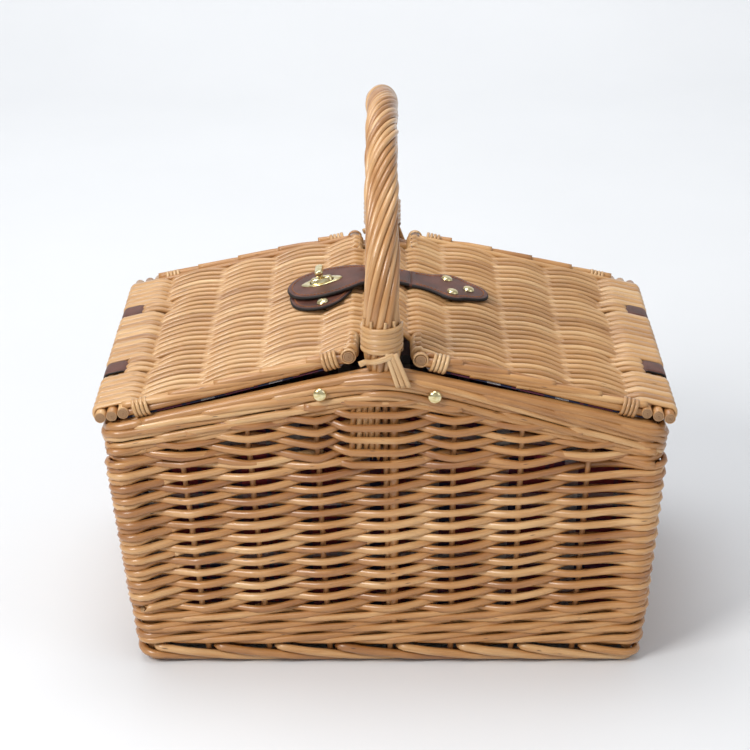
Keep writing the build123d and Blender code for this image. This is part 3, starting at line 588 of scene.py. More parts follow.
bundle = Bundle()
for side, middle_u in ((-1, CENTRE), (1, CORNERS[2] + CENTRE)):
    rows = int((PEAK_Z - RIM_DROP - RAND_TOP) / GABLE_PITCH) + 3
    for row in range(rows):
        level = RAND_TOP - 0.5 * MM + row * GABLE_PITCH
        half_span = (PEAK_Z - RIM_DROP + 10 * MM - level) / SLOPE
        half_u = min(half_span / half_w(level), 1.0) * CENTRE
        if half_u < 0.6:
            continue
        u = np.arange(-half_u, half_u, 1 / ROUND_STEPS)
        step = past_liners(u, side) - row
        wave = np.cos(np.pi * step)
        slant = 1 - 2 * np.abs(np.mod(step, 2) - 1)
        wide = np.exp(-((u / 0.8) ** 2))
        swell = corner_swell(middle_u + u)
        z = level + 2.6 * MM * slant + 0.7 * MM * slow(u * 0.8, row + 300 + 50 * side)
        reach = (RAND_REACH + 0.9 * MM * wide) * wave * (1 + 0.4 * swell) + 1.6 * MM * swell
        points, normals = ring(middle_u + u, z, reach)
        bundle.rod(points, WEAVER_R * rng.uniform(0.88, 1.0), normals, flat=0.93, tone=rng.uniform(0.0, 0.65))
# Two plain rows finish each side wall under the rim.
for first, last in ((CORNERS[1], CORNERS[2]), (CORNERS[3], ROUND)):
    for row in range(2):
        u = np.arange(first - 1.0 - row, last + 1.0 + row, 1 / ROUND_STEPS)
        wave = np.cos(np.pi * (u - first + row))
        swell = corner_swell(u)
        z = RAND_TOP + (1.0 + 4.2 * row) * MM + 0.6 * MM * slow(u * 0.8, row + 400 + first)
        points, normals = ring(u, z, RAND_REACH * wave * (1 - swell) + 3.2 * MM * swell)
        bundle.rod(points, WEAVER_R * 0.94, normals, flat=0.93)
settle(bundle.piece("gable_rand_weave", BODY, END), "basket", "willow_weave")

# ---- Wale: rows of three rods, each in front of two stakes and behind one ----
WALE_ROWS = 3
WALE_R = 2.95 * MM
WALE_START = CORNERS[2] + 2
bundle = Bundle()
wale_bottom = FOOT_Z + 4.5 * MM
wale_pitch = (RAND_BOTTOM - 2.0 * MM - wale_bottom) / (WALE_ROWS - 0.3)
for row in range(WALE_ROWS):
    for lead in range(3):
        t = np.arange(0, ROUND - 1 + 0.01, 1 / ROUND_STEPS)
        u = WALE_START + t + lead + 1.37 * row
        phase = np.mod(t, 3)
        # Outside for two stakes, inside round the third, rising on the way.
        wave = np.interp(phase, [0, 0.55, 1.0, 1.9, 2.45, 3.0], [-1, 0.3, 1, 1, 0.3, -1])
        rise = np.interp(phase, [0, 0.45, 2.55, 3.0], [0.0, -0.72, 0.85, 0.0])
        z = wale_bottom + wale_pitch * (row + 0.15 + 0.52 * rise) + 0.5 * MM * slow(u, row * 3 + lead)
        swell = corner_swell(u)
        points, normals = ring(u, z, (RAND_REACH + 0.2 * MM) * wave + 2.6 * MM * swell)
        bundle.rod(points, WALE_R * rng.uniform(0.95, 1.06), normals, flat=0.95, tone=rng.uniform(0.1, 0.7))
settle(bundle.piece("lower_wale_rows", BODY, END), "basket", "willow_weave", "lower_wale")

# ---- Foot border: every stake's rod comes out at the top and runs down behind the next ones ----
bundle = Bundle()
FOOT_R = 3.5 * MM
for stake in range(ROUND):
    t = np.linspace(0, 2.1, 34)
    u = stake + 0.12 + t
    z = np.interp(t, [0, 0.12, 1.1, 1.8, 2.1], [15.4 * MM, 15.0 * MM, 7.6 * MM, 4.1 * MM, FOOT_R + 0.1 * MM])
    out = np.interp(t, [0, 0.1, 0.5, 1.3, 2.1], [0.5 * MM, 4.4 * MM, 6.0 * MM, 3.8 * MM, -1.5 * MM])
    points, normals = ring(u, z, out + 1.0 * MM * corner_swell(u))
    size = FOOT_R * rng.uniform(0.94, 1.06) * np.interp(t, [0, 0.03, 0.12, 2.1], [0.7, 0.92, 1.02, 0.95])
    bundle.rod(points, size, normals, sides=9)
    # The inner rods that carry the border's underside.
    t = np.linspace(0, 1.6, 20)
    points, normals = ring(stake + t, 3.3 * MM + 2.6 * MM * np.abs(np.sin(np.pi * t / 1.6)), -3.4 * MM)
    bundle.rod(points, 3.0 * MM, normals)
settle(bundle.piece("foot_border_rods", BODY, END), "basket", "willow_weave", "foot_border")

# ---- Rim border: a straight top rod, an upper band of laid rods and a lower band ----
bundle = Bundle()


def round_leg(u):
    """Extra room outwards where the rim passes in front of a handle leg."""
    near = np.minimum(np.abs(np.mod(u, ROUND) - CENTRE), np.abs(np.mod(u, ROUND) - CORNERS[2] - CENTRE))
    return 4.5 * MM * np.exp(-((near / 0.32) ** 2))


def rim_strokes(drop, lift, radius, reach, length, offset, seed):
    """Long overlapping strokes that run along the rim, each coming out above and going in below."""
    for stake in range(ROUND):
        t = np.linspace(0, length, int(length * ROUND_STEPS))
        u = stake + offset + t
        share = t / length
        rise = lift * np.interp(share, [0, 0.25, 0.8, 1], [0.5, 0.36, -0.42, -0.5])
        across = [-2.5 * MM, reach, reach + 0.3 * MM, reach - 2.4 * MM, -3.5 * MM]
        out = np.interp(share, [0, 0.09, 0.5, 0.85, 1], across)
        z = rim_height(u) - drop + rise + 0.5 * MM * slow(u, stake + seed)
        points, normals = ring(u, z, out + 1.5 * MM * corner_swell(u) + round_leg(u))
        size = radius * rng.uniform(0.93, 1.07) * np.interp(share, [0, 0.04, 0.5, 1], [0.7, 1.05, 1.0, 0.8])
        bundle.rod(points, size, normals, flat=0.95)


def rim_hoop(drop, out, radius, tone=None):
    """One rod that runs all the way round under the lids."""
    u = np.arange(0.5, ROUND + 0.51, 1 / ROUND_STEPS)
    z = rim_height(u) - drop + 0.4 * MM * slow(u, int(drop * 7000))
    points, normals = ring(u, z, out + (round_leg(u) if out > 0 else 0))
    bundle.rod(points, radius, normals, tone=tone)


rim_hoop(4.0 * MM, 2.2 * MM, 3.9 * MM, tone=0.2)
rim_hoop(4.4 * MM, -4.5 * MM, 3.6 * MM, tone=0.4)
rim_strokes(11.4 * MM, 10.0 * MM, 3.2 * MM, 4.6 * MM, 3.1, 0.2, 11)
rim_strokes(22.2 * MM, 7.0 * MM, 2.8 * MM, 4.2 * MM, 2.5, 0.55, 77)
rim_hoop(28.5 * MM, 1.2 * MM, 3.0 * MM)
rim_hoop(28.0 * MM, -4.6 * MM, 3.0 * MM)
rim_hoop(12.0 * MM, -4.0 * MM, 3.4 * MM)
rim_hoop(21.0 * MM, -4.0 * MM, 3.2 * MM)
settle(
    bundle.piece("rim_border_rods", BORDER, END), "basket", "willow_weave",
    "front_rim_left", "front_rim_right", "back_rim_left", "back_rim_right", "left_rim", "right_rim",
)

# ---- Base ----
base_low, base_high = corners("base_panel")
base_z = (base_low[2] + base_high[2]) / 2
bundle = Bundle()
bars = 8
bar_x = np.linspace(base_low[0] + 12 * MM, base_high[0] - 12 * MM, bars)
for x in bar_x:
    y = np.linspace(base_low[1] + 1 * MM, base_high[1] - 1 * MM, 20)
    bundle.rod(np.stack([np.full(20, x), y, np.full(20, base_z)], axis=1), 2.3 * MM, (0, 0, 1))
rows = int((base_high[1] - base_low[1]) / (5.6 * MM))
for row in range(rows):
    x = np.linspace(base_low[0], base_high[0], bars * 10)
    step = (bar_x[1] - bar_x[0])
    wave = np.cos(np.pi * ((x - bar_x[0]) / step + row))
    y = np.full(len(x), base_low[1] + 2.8 * MM + row * 5.6 * MM)
    path = np.stack([x, y, base_z + 2.3 * MM * wave], axis=1)
    bundle.rod(path, 2.6 * MM, (0, 0, 1), sides=6)
settle(bundle.piece("base_weave", BODY, END), "basket", "willow_weave", "base_panel")


# ---- Lids ----
def lid_frame(side):
    """Origin, up-slope, across and upward directions of a lid's underside."""
    origin = np.array([side * HINGE[0], 0, HINGE[2]])
    slope = np.array([-side * math.cos(LID_ANGLE), 0, math.sin(LID_ANGLE)])
    normal = np.array([side * math.sin(LID_ANGLE), 0, math.cos(LID_ANGLE)])
    return origin, slope, np.array([0, 1.0, 0]), normal


def on_lid(side, u, y, lift):
    """Points at distance u up a lid, at this Y, this far above its underside."""
    origin, slope, across, normal = lid_frame(side)
    u, y, lift = np.broadcast_arrays(np.asarray(u, float), y, lift)
    # The front corners beside the handle have warped a little upwards.
    warp = (u / (RIDGE_U)) ** 2 * np.clip((-y - 50 * MM) / (96 * MM), 0, 1) ** 1.5
    lift = lift + LID_WARP[side] * warp
    return origin + u[..., None] * slope + y[..., None] * across + lift[..., None] * normal


LID_HALF_D = corners("left_lid_inner_sticks")[1][1]
TONGUE_HALF_D = LID_HALF_D - 45 * MM
RIDGE_U = (HINGE[0] - 1.5 * MM) / math.cos(LID_ANGLE)
NOTCH_U = (HINGE[0] - 20 * MM) / math.cos(LID_ANGLE)
OUTER_U = np.array([7.6, 17.0, 26.4]) * MM
INNER_U = (HINGE[0] - np.array([168.0, 121.0, 74.0]) * MM) / math.cos(LID_ANGLE)
NOTCH_STICK_U = NOTCH_U - 6 * MM
TONGUE_STICK_U = RIDGE_U - 5.5 * MM
OUTER_LIFT, LID_MIDDLE = 6.5 * MM, 6.6 * MM
OUTER_STICK_R = 4.6 * MM
LID_STICK_R, LID_WEAVER_R = 3.2 * MM, 2.55 * MM
LID_WAVE = 3.9 * MM
LID_PITCH = 5.05 * MM
LID_WARP = {-1: 7.0 * MM, 1: 3.0 * MM}
LOOP_Y, LOOP_HALF = 62 * MM, 10.5 * MM


def lid_rows():
    """Y of every row of the weave."""
    count = int(2 * (LID_HALF_D - 8 * MM) / LID_PITCH)
    return (np.arange(count) - (count - 1) / 2) * LID_PITCH


for side, name in ((-1, "left"), (1, "right")):
    body = f"{name}_lid"
    _, slope, _, normal = lid_frame(side)

    bundle = Bundle()
    for u in OUTER_U:
        y = np.linspace(-LID_HALF_D - rng.uniform(0, 1.5) * MM, LID_HALF_D + rng.uniform(0, 1.5) * MM, 24)
        path = on_lid(side, u + 0.3 * MM * slow(y * 30, 5), y, OUTER_LIFT)
        bundle.rod(path, OUTER_STICK_R * rng.uniform(0.95, 1.03), normal, sides=14, swell=0.02)
    outer_rods = bundle.piece(f"{name}_lid_outer_rods", BORDER, END)
    settle(outer_rods, body, "willow_rods", f"{name}_lid_outer_sticks")

    bundle = Bundle()
    inner_sticks = [(u, LID_HALF_D - 8 * MM) for u in INNER_U]
    inner_sticks += [(NOTCH_STICK_U, LID_HALF_D), (TONGUE_STICK_U, TONGUE_HALF_D)]
    for u, reach in inner_sticks:
        y = np.linspace(-reach, reach, 30)
        thick = 4.3 * MM if u == NOTCH_STICK_U else LID_STICK_R
        bundle.rod(on_lid(side, u, y, LID_MIDDLE), thick, normal, sides=12, swell=0.02)
    inner_rods = bundle.piece(f"{name}_lid_inner_rods", BORDER, END)
    settle(inner_rods, body, "willow_rods", f"{name}_lid_inner_sticks")

    # Weave: each row goes over one stick and under the next. Where a row turns round the
    # outermost sticks it is squeezed flat, and every second row shows on top.
    bundle = Bundle()
    sticks = [OUTER_U[1], *INNER_U, NOTCH_STICK_U, TONGUE_STICK_U]
    for row, y0 in enumerate(lid_rows()):
        over = 1 if row % 2 == 0 else -1
        in_loop = abs(abs(y0) - LOOP_Y) < LOOP_HALF + 1.5 * MM
        last = 5 if abs(y0) < TONGUE_HALF_D - 2 * MM else 4
        first_u = OUTER_U[2] if in_loop else OUTER_U[0]
        stick_u = np.array([first_u, *sticks[1 : last + 1]])
        t = np.linspace(0, last, last * 14 + 1)
        u = np.interp(t, np.arange(last + 1), stick_u)
        wave = np.cos(np.pi * t) * over
        bundle_end = OUTER_U[2] + 4 * MM
        on_bundle = np.clip((bundle_end + 12 * MM - u) / (12 * MM), 0, 1)
        settled = np.where(t < 1, wave * (1 - on_bundle) + over * on_bundle, wave)
        wave = np.where(u < bundle_end, over, settled)
        lift = LID_MIDDLE + (LID_WAVE + 1.4 * MM * on_bundle) * wave
        y = y0 + 0.3 * MM * slow(u * 30, row) + 0.35 * MM * np.sin(np.pi * t) * over
        turn_r = OUTER_STICK_R + 1.2 * MM
        a = np.linspace(1.45, 0.5, 12) if over > 0 else np.linspace(1.1, 1.5, 6)
        a = a[:-1] * np.pi
        head = on_lid(side, first_u + turn_r * np.cos(a), y0, OUTER_LIFT + turn_r * np.sin(a))
        head_out = np.cos(a)[:, None] * slope + np.sin(a)[:, None] * normal
        end_over = over * (1 if last % 2 == 0 else -1)
        end_r = (4.3 * MM if last == 4 else LID_STICK_R) + 1.3 * MM
        b = np.linspace(np.pi / 2, -0.25 * np.pi, 9)[1:]
        tail = on_lid(side, stick_u[-1] + end_r * np.cos(b), y0, LID_MIDDLE + end_over * end_r * np.sin(b))
        tail_out = np.cos(b)[:, None] * slope + end_over * np.sin(b)[:, None] * normal
        path = np.concatenate([head, on_lid(side, u, y, lift), tail])
        middle_out = np.repeat(normal[None], len(u), axis=0)
        outward = np.concatenate([head_out, middle_out, tail_out])
        wide = np.concatenate([np.ones(len(a)), on_bundle, np.zeros(len(b))])
        if in_loop:
            wide = wide * 0.55
        size = (LID_WEAVER_R + (4.75 * MM - LID_WEAVER_R) * wide) * rng.uniform(0.97, 1.04)
        bundle.rod(path, size, outward, flat=0.93 - 0.53 * wide, sides=10)
    settle(bundle.piece(f"{name}_lid_weave_rods", LID, END), body, "willow_weave", f"{name}_lid_weave")

    # Border: laid rods with cut butts, along the front and back edges.
    bundle = Bundle()
    low_u, high_u = OUTER_U[2] + 5 * MM, NOTCH_STICK_U - 3 * MM
    for end in (-1, 1):
        edge_y = end * (LID_HALF_D - 4 * MM)
        starts = np.linspace(low_u - 4 * MM, high_u - 30 * MM, 5)
        for number, start in enumerate(starts):
            reach = min(high_u + 4 * MM, start + 105 * MM)
            share = np.linspace(0, 1, 24)
            u = start + (reach - start) * share
            lift = np.interp(share, [0, 0.3, 1], [11.5 * MM, 10 * MM, 4 * MM])
            y = edge_y + end * np.interp(share, [0, 0.3, 1], [0, 1.4 * MM, 0.2 * MM])
            bundle.rod(on_lid(side, u, y, lift), 3.1 * MM * rng.uniform(0.92, 1.05), normal)
        for lift, away, size in np.array([(5.0, 0.6, 3.2), (3.4, -4.5, 2.8), (9.4, -5.0, 2.6)]) * MM:
            u = np.linspace(low_u - 8 * MM, high_u, 40)
            y = edge_y + end * away + 0.4 * MM * slow(u * 40, int(lift * 1e5))
            bundle.rod(on_lid(side, u, y, lift), size, normal)
    settle(bundle.piece(f"{name}_lid_border_rods", BORDER, END), body, "willow_weave", f"{name}_lid_borders")

    # Skein bindings at the four corners.
    bundle = Bundle()
    for centre_u in (OUTER_U[2] + 15 * MM, NOTCH_STICK_U - 15 * MM):
        for end in (-1, 1):
            turns_here = 4
            t = np.linspace(0, turns_here * 2 * np.pi, turns_here * 20)
            u = centre_u - 6.5 * MM + 13 * MM * t / t[-1]
            y = end * (LID_HALF_D - 4.2 * MM) + (6.6 * MM) * np.cos(t)
            lift = 6.4 * MM + 7.2 * MM * np.sin(t)
            points = on_lid(side, u, y, lift)
            middle = on_lid(side, u, end * (LID_HALF_D - 4.2 * MM), 6.4 * MM)
            bundle.rod(points, 1.55 * MM, unit(points - middle), flat=0.6, sides=6)
    # A loop of the same skein holds each end of the stick beside the notch.
    for end in (-1, 1):
        t = np.linspace(0, 2.6 * np.pi, 34)
        loop_r = 5.6 * MM
        y = end * (LID_HALF_D - 1.0 * MM - 1.6 * MM * t / t[-1])
        points = on_lid(side, NOTCH_STICK_U + loop_r * np.cos(t), y, LID_MIDDLE + loop_r * np.sin(t))
        middle = on_lid(side, NOTCH_STICK_U, y, LID_MIDDLE)
        bundle.rod(points, 1.5 * MM, unit(points - middle), flat=0.6, sides=6)
    settle(bundle.piece(f"{name}_lid_skein", SKEIN, END), body, "willow_skein", f"{name}_lid_bindings")


# ---- Handle: rods twisted round a core, bound at both feet ----
HANDLE_R = (bow_high[0] - bow_low[0]) / 2
LEG_Y = bow_high[1] - HANDLE_R
BINDING_LOW, BINDING_HIGH = corners("front_handle_binding")
LEG_TOP = BINDING_HIGH[2] + 1 * MM
CROWN_RISE = bow_high[2] - HANDLE_R - LEG_TOP
SHOULDER_R = 100 * MM


def bow_line(count):
    """Points along the middle of the bow, from the front foot over the crown to the back foot."""
    shoulder_y = LEG_Y - SHOULDER_R
    crown_r = (shoulder_y**2 + CROWN_RISE**2 - SHOULDER_R**2) / (2 * (CROWN_RISE - SHOULDER_R))
    turn = math.atan2(crown_r - CROWN_RISE, shoulder_y)
    foot = PEAK_Z - 24 * MM
    a = np.linspace(0, turn, 60)
    shoulder = np.stack([shoulder_y + SHOULDER_R * np.cos(a), LEG_TOP + SHOULDER_R * np.sin(a)], axis=1)
    b = np.linspace(turn, np.pi / 2, 60)[1:]
    crown = np.stack([crown_r * np.cos(b), LEG_TOP + CROWN_RISE - crown_r + crown_r * np.sin(b)], axis=1)
    leg = np.stack([np.full(20, LEG_Y), np.linspace(foot, LEG_TOP, 20)], axis=1)[:-1]
    half = np.concatenate([leg, shoulder, crown])
    half[:, 0] *= -1
    other = half[::-1][1:] * np.array([-1, 1])
    whole = np.concatenate([half, other])
    length = np.concatenate([[0], np.cumsum(np.linalg.norm(np.diff(whole, axis=0), axis=1))])
    s = np.linspace(0, length[-1], count)
    y, z = (np.interp(s, length, whole[:, axis]) for axis in (0, 1))
    return np.stack([np.zeros(count), y, z], axis=1), s


HANDLE_RODS = 13
HANDLE_SHIFT = -2.5 * MM
HANDLE_STEPS = 170
line, travel = bow_line(HANDLE_STEPS)
line[:, 0] = HANDLE_SHIFT
tangent = unit(np.gradient(line, axis=0))
across = np.array([1.0, 0, 0])
away = np.cross(tangent, across)
share = travel / travel[-1]
crown_share = np.sin(np.pi * share)
handle_r = HANDLE_R * (1.02 - 0.12 * crown_share)
pitch_angle = np.radians(6 + 24 * crown_share**1.5)
twist = np.concatenate([[0], np.cumsum(np.tan(pitch_angle[1:]) / (handle_r[1:] * 0.8) * np.diff(travel))])
# Below their binding the rods squeeze together, to go down behind the rim.
leg_squeeze = np.clip((line[:, 2] - (PEAK_Z - 16 * MM)) / (BINDING_LOW[2] + 4 * MM - PEAK_Z + 16 * MM), 0, 1)
handle_r = handle_r * (0.45 + 0.55 * leg_squeeze * (2 - leg_squeeze))
line[:, 1] *= 1 - 0.02 * (1 - leg_squeeze)
rod_r = handle_r * 0.205 * np.cos(pitch_angle)
bundle = Bundle()
for number in range(HANDLE_RODS):
    start = 2 * np.pi * number / HANDLE_RODS
    angle = start + twist
    centre_r = handle_r - rod_r
    offset = np.cos(angle)[:, None] * across + np.sin(angle)[:, None] * away
    path = line + (centre_r + rng.uniform(-1.3, 0.4) * MM)[:, None] * offset
    bundle.rod(path, rod_r * rng.uniform(0.93, 1.07), offset, sides=10, tone=rng.uniform(0.1, 1), swell=0.03)
# The core inside the twist gets a tone below every rod's, so it shows very dark in the gaps between the rods:
# painted shade.
bundle.rod(line, handle_r * 0.56, across, tone=-0.6)
settle(bundle.piece("handle_twisted_rods", HANDLE, END), "basket", "willow_weave", "handle_bow")

bundle = Bundle()
for side in (-1, 1):
    coils = 5
    t = np.linspace(0, coils * 2 * np.pi, coils * 28)
    z = BINDING_LOW[2] + 1.5 * MM + (BINDING_HIGH[2] - BINDING_LOW[2] - 3 * MM) * t / t[-1]
    radius = HANDLE_R + 0.9 * MM
    points = np.stack([HANDLE_SHIFT + radius * np.cos(t), side * LEG_Y + radius * np.sin(t), z], axis=1)
    outward = np.stack([np.cos(t), np.sin(t), 0 * t], axis=1)
    bundle.rod(points, 2.45 * MM, outward, flat=0.62, sides=10, tone=0.45, swell=0.02)
    # Cut stubs of the skein stand above the binding.
    for a in (-1.25, -0.6, 0.15, 0.75):
        x, y = HANDLE_SHIFT + HANDLE_R * math.sin(a), side * (LEG_Y + HANDLE_R * math.cos(a))
        foot = np.array([x, y, BINDING_HIGH[2] - 2 * MM])
        tip = np.array([1.2 * MM * math.sin(a * 5), side * 1.0 * MM, 7.5 * MM])
        path = foot + np.linspace(0, 1, 5)[:, None] * tip
        bundle.rod(path, 1.3 * MM, (0, side, 0), flat=0.6, sides=6, tone=0.6)
    # The last turn leaves downwards on one side; three cut tails hang on the other.
    front_y = side * (LEG_Y + HANDLE_R + 0.6 * MM)
    for tail in range(3):
        z = np.linspace(BINDING_LOW[2] + 4 * MM, BINDING_LOW[2] - 25 * MM, 12)
        fall = (BINDING_LOW[2] + 4 * MM - z) / (29 * MM)
        x = HANDLE_SHIFT + (3.5 + 3.3 * tail) * MM + fall * (9 + 1.0 * tail) * MM
        y = front_y + side * (0.4 * MM - 1.0 * MM * fall)
        path = np.stack([x, np.broadcast_to(y, x.shape), z], axis=1)
        bundle.rod(path, 1.9 * MM, (0, side, 0), flat=0.5, sides=8, tone=0.9)
    x = np.linspace(6 * MM, -20 * MM, 12)
    z = BINDING_LOW[2] + 2 * MM + (x - 6 * MM) * 0.42
    bulge = (HANDLE_R + 1.6 * MM) ** 2 - np.minimum(np.abs(x), HANDLE_R) ** 2
    y = side * (LEG_Y + np.sqrt(np.maximum(bulge, (7 * MM) ** 2)))
    bundle.rod(np.stack([x, y, z], axis=1), 2.5 * MM, (0, side, 0), flat=0.45, tone=0.95)
settle(
    bundle.piece("handle_foot_skein", SKEIN, END), "basket", "willow_skein",
    "front_handle_binding", "back_handle_binding",
)


# ---- Flat pieces: leather straps with worn edges and stitching ----
def mesh_piece(name, points, faces, materials, slots=None, smooth=True, attributes=None):
    """A mesh object from points and faces."""
    mesh = bpy.data.meshes.new(name)
    mesh.from_pydata([tuple(p) for p in points], [], [tuple(int(i) for i in f) for f in faces])
    for material in materials:
        mesh.materials.append(material)
    if slots is not None:
        mesh.polygons.foreach_set("material_index", np.asarray(slots, np.int32))
    mesh.polygons.foreach_set("use_smooth", np.full(len(faces), smooth))
    for key, value in (attributes or {}).items():
        mesh.attributes.new(key, "FLOAT_VECTOR", "POINT").data.foreach_set(
            "vector", np.asarray(value, np.float32).ravel()
        )
    mesh.validate()
    made = bpy.data.objects.new(name, mesh)
    bpy.context.scene.collection.objects.link(made)
    return made


def join(name, pieces):
    """Joins mesh objects into one, keeping their materials."""
    bpy.ops.object.select_all(action="DESELECT")
    for piece in pieces:
        piece.select_set(True)
    bpy.context.view_layer.objects.active = pieces[0]
    bpy.ops.object.join()
    made = bpy.context.view_layer.objects.active
    made.name = name
    made.data.name = name
    return made


def strap_sheet(name, plan, surface, thickness, hole=None):
    """Leather of a flat outline laid on a surface, with rounded dark edges.

    plan is a closed outline of (s, t) points; surface(s, t, lift) gives places and directions.
    """
    plan = np.asarray(plan, float)
    middle = plan.mean(axis=0)
    rings = 14
    inner = hole if hole is not None else np.repeat(middle[None], len(plan), axis=0)
    rows = [inner + (plan - inner) * k / rings for k in range(0 if hole is not None else 1, rings + 1)]
    lifts_top = [thickness] * len(rows)
    # Rounded edge below the top face.
    outline_out = unit(np.roll(plan, -1, axis=0) - np.roll(plan, 1, axis=0))
    outward = np.stack([outline_out[:, 1], -outline_out[:, 0]], axis=1)
    if ((plan - middle) * outward).sum() < 0:
        outward = -outward
    rounded = [(0.25, 0.93), (0.5, 0.8), (0.62, 0.5), (0.5, 0.2), (0.25, 0.07)]
    outward = outward * (np.abs(plan[:, :1] - FOLD_X) > 0.3 * MM)
    edge_rows = [plan + outward * thickness * a * 0.5 for a, _ in rounded]
    edge_lifts = [thickness * b for _, b in rounded]
    bottom_rows = [rows[-1 - k] for k in range(len(rows))]
    all_rows = rows + edge_rows + bottom_rows
    lifts = lifts_top + edge_lifts + [0.0] * len(bottom_rows)
    count = len(plan)
    points = np.concatenate([surface(r[:, 0], r[:, 1], np.full(count, l)) for r, l in zip(all_rows, lifts)])
    faces, slots = [], []
    edge_from, edge_to = len(rows) - 1, len(rows) + len(edge_rows)
    total = len(all_rows)
    at_fold = np.abs(plan[:, 0] - FOLD_X) < 0.3 * MM
    for k in range(total - 1 + (1 if hole is not None else 0)):
        here, nxt = k % total, (k + 1) % total
        for i in range(count):
            j = (i + 1) % count
            faces.append((here * count + i, here * count + j, nxt * count + j, nxt * count + i))
            slots.append(1 if edge_from <= k < edge_to and not at_fold[i] else 0)
    if hole is None:
        centre_top = surface(middle[:1], middle[1:], np.array([thickness]))[0]
        centre_low = surface(middle[:1], middle[1:], np.array([0.0]))[0]
        points = np.concatenate([points, [centre_top, centre_low]])
        top, low = len(points) - 2, len(points) - 1
        for i in range(count):
            j = (i + 1) % count
            faces.append((top, j, i))
            slots.append(0)
            faces.append((low, (total - 1) * count + i, (total - 1) * count + j))
            slots.append(0)
    made = mesh_piece(name, points, faces, [LEATHER, EDGE], slots)
    bpy.context.view_layer.objects.active = made
    fix_normals(made)
    return made


def fix_normals(piece):
    work = bmesh.new()
    work.from_mesh(piece.data)
    bmesh.ops.recalc_face_normals(work, faces=work.faces)
    work.to_mesh(piece.data)
    work.free()


def smooth_outline(points, count=120, rounds=3):
    """A closed outline smoothed by corner cutting, then evenly spaced."""
    p = np.asarray(points, float)
    for _ in range(rounds):
        q = np.roll(p, -1, axis=0)
        p = np.stack([0.75 * p + 0.25 * q, 0.25 * p + 0.75 * q], axis=1).reshape(-1, 2)
    closed = np.concatenate([p, p[:1]])
    s = np.concatenate([[0], np.cumsum(np.linalg.norm(np.diff(closed, axis=0), axis=1))])
    t = np.linspace(0, s[-1], count, endpoint=False)
    return np.stack([np.interp(t, s, closed[:, 0]), np.interp(t, s, closed[:, 1])], axis=1)


def inset(outline, distance):
    """The outline moved inwards."""
    along = unit(np.roll(outline, -1, axis=0) - np.roll(outline, 1, axis=0))
    inward = np.stack([-along[:, 1], along[:, 0]], axis=1)
    if ((outline - outline.mean(axis=0)) * inward).sum() > 0:
        inward = -inward
    return outline + inward * distance


def stitches(name, outline, surface, lift, pitch=3.0 * MM, skip=None):
    """Thread along a line on a surface: one short raised stitch after another."""
    closed = np.concatenate([outline, outline[:1]])
    s = np.concatenate([[0], np.cumsum(np.linalg.norm(np.diff(closed, axis=0), axis=1))])
    number = int(s[-1] / pitch)
    made = Bundle()
    for k in range(number):
        at = np.linspace(k, k + 0.72, 5) * s[-1] / number
        st = np.stack([np.interp(at, s, closed[:, 0]), np.interp(at, s, closed[:, 1])], axis=1)
        if skip is not None and skip(st[2]):
            continue
        hump = np.sin(np.linspace(0, np.pi, 5)) * 0.35 * MM
        path = surface(st[:, 0], st[:, 1], lift - 0.12 * MM + hump)
        made.rod(path, 0.38 * MM, (0, 0, 1), sides=5, swell=0)
    return made.piece(name, THREAD)


flap_low, flap_high = corners("strap_flap")
FOLD_X = flap_high[0]
STRAP_MID_Y = (flap_low[1] + flap_high[1]) / 2
LID_TOP = 12 * MM
STRAP_T = 2.8 * MM


def strap_surface(bottom_lift):
    """Surface under the closure strap: world X and Y to a place over the two lids."""

    def place(x, y, lift):
        x = np.asarray(x, float)
        base = HINGE[2] + HINGE[0] * SLOPE - np.sqrt(x**2 + (5 * MM) ** 2) * SLOPE
        rise = (LID_TOP + bottom_lift(x) + lift) / math.cos(LID_ANGLE)
        return np.stack([x, np.asarray(y, float), base + rise], axis=-1)

    return place


def paddle_lift(x):
    """The free end stands on the lock's tab; the rest of the strap lies on the weave."""
    ramp = np.clip((-x - 8 * MM) / (14 * MM), 0, 1)
    return 1.6 * MM + 3.4 * MM * ramp * ramp * (3 - 2 * ramp)


def strap_plan(points):
    return [(x * MM, STRAP_MID_Y + y * MM) for x, y in points]


flap_outline = smooth_outline(
    strap_plan([
        (40, 15), (40, -15), (0, -15), (-14, -17), (-28, -25), (-43, -30.5), (-62, -30), (-76, -21),
        (-82.5, -4), (-82, 9), (-75, 23), (-60, 30.5), (-43, 30), (-28, 25), (-14, 17), (0, 15),
    ]),
    160, 2,
)
# The fold's end stays square.
flap_outline[:, 0] = np.minimum(flap_outline[:, 0], 21.9 * MM)
lock_low, lock_high = corners("lock_base")
LOCK = (lock_low + lock_high) / 2
start_angle = np.arctan2(flap_outline[:, 1] - LOCK[1], flap_outline[:, 0] - LOCK[0])
HOLE = (10.2 * MM, 4.6 * MM)


def oval(angle, half_length, half_width, power=2.0):
    c, s = np.cos(angle), np.sin(angle)
    x = half_length * np.sign(c) * np.abs(c) ** (2 / power)
    y = half_width * np.sign(s) * np.abs(s) ** (2 / power)
    return np.stack([x, y], axis=1)


hole_outline = np.array([LOCK[0], LOCK[1]]) + oval(start_angle, HOLE[0], HOLE[1], 3.5)
flap_surface = strap_surface(paddle_lift)
flap = strap_sheet("strap_free_end", flap_outline, flap_surface, STRAP_T, hole=hole_outline)
flap_thread = stitches(
    "strap_free_end_thread", inset(flap_outline, 3.2 * MM), flap_surface, STRAP_T,
    skip=lambda p: p[0] > 17 * MM,
)
flap_piece = join("strap_free_end", [flap, flap_thread])
settle(flap_piece, "closure_strap", "leather", "strap_flap")

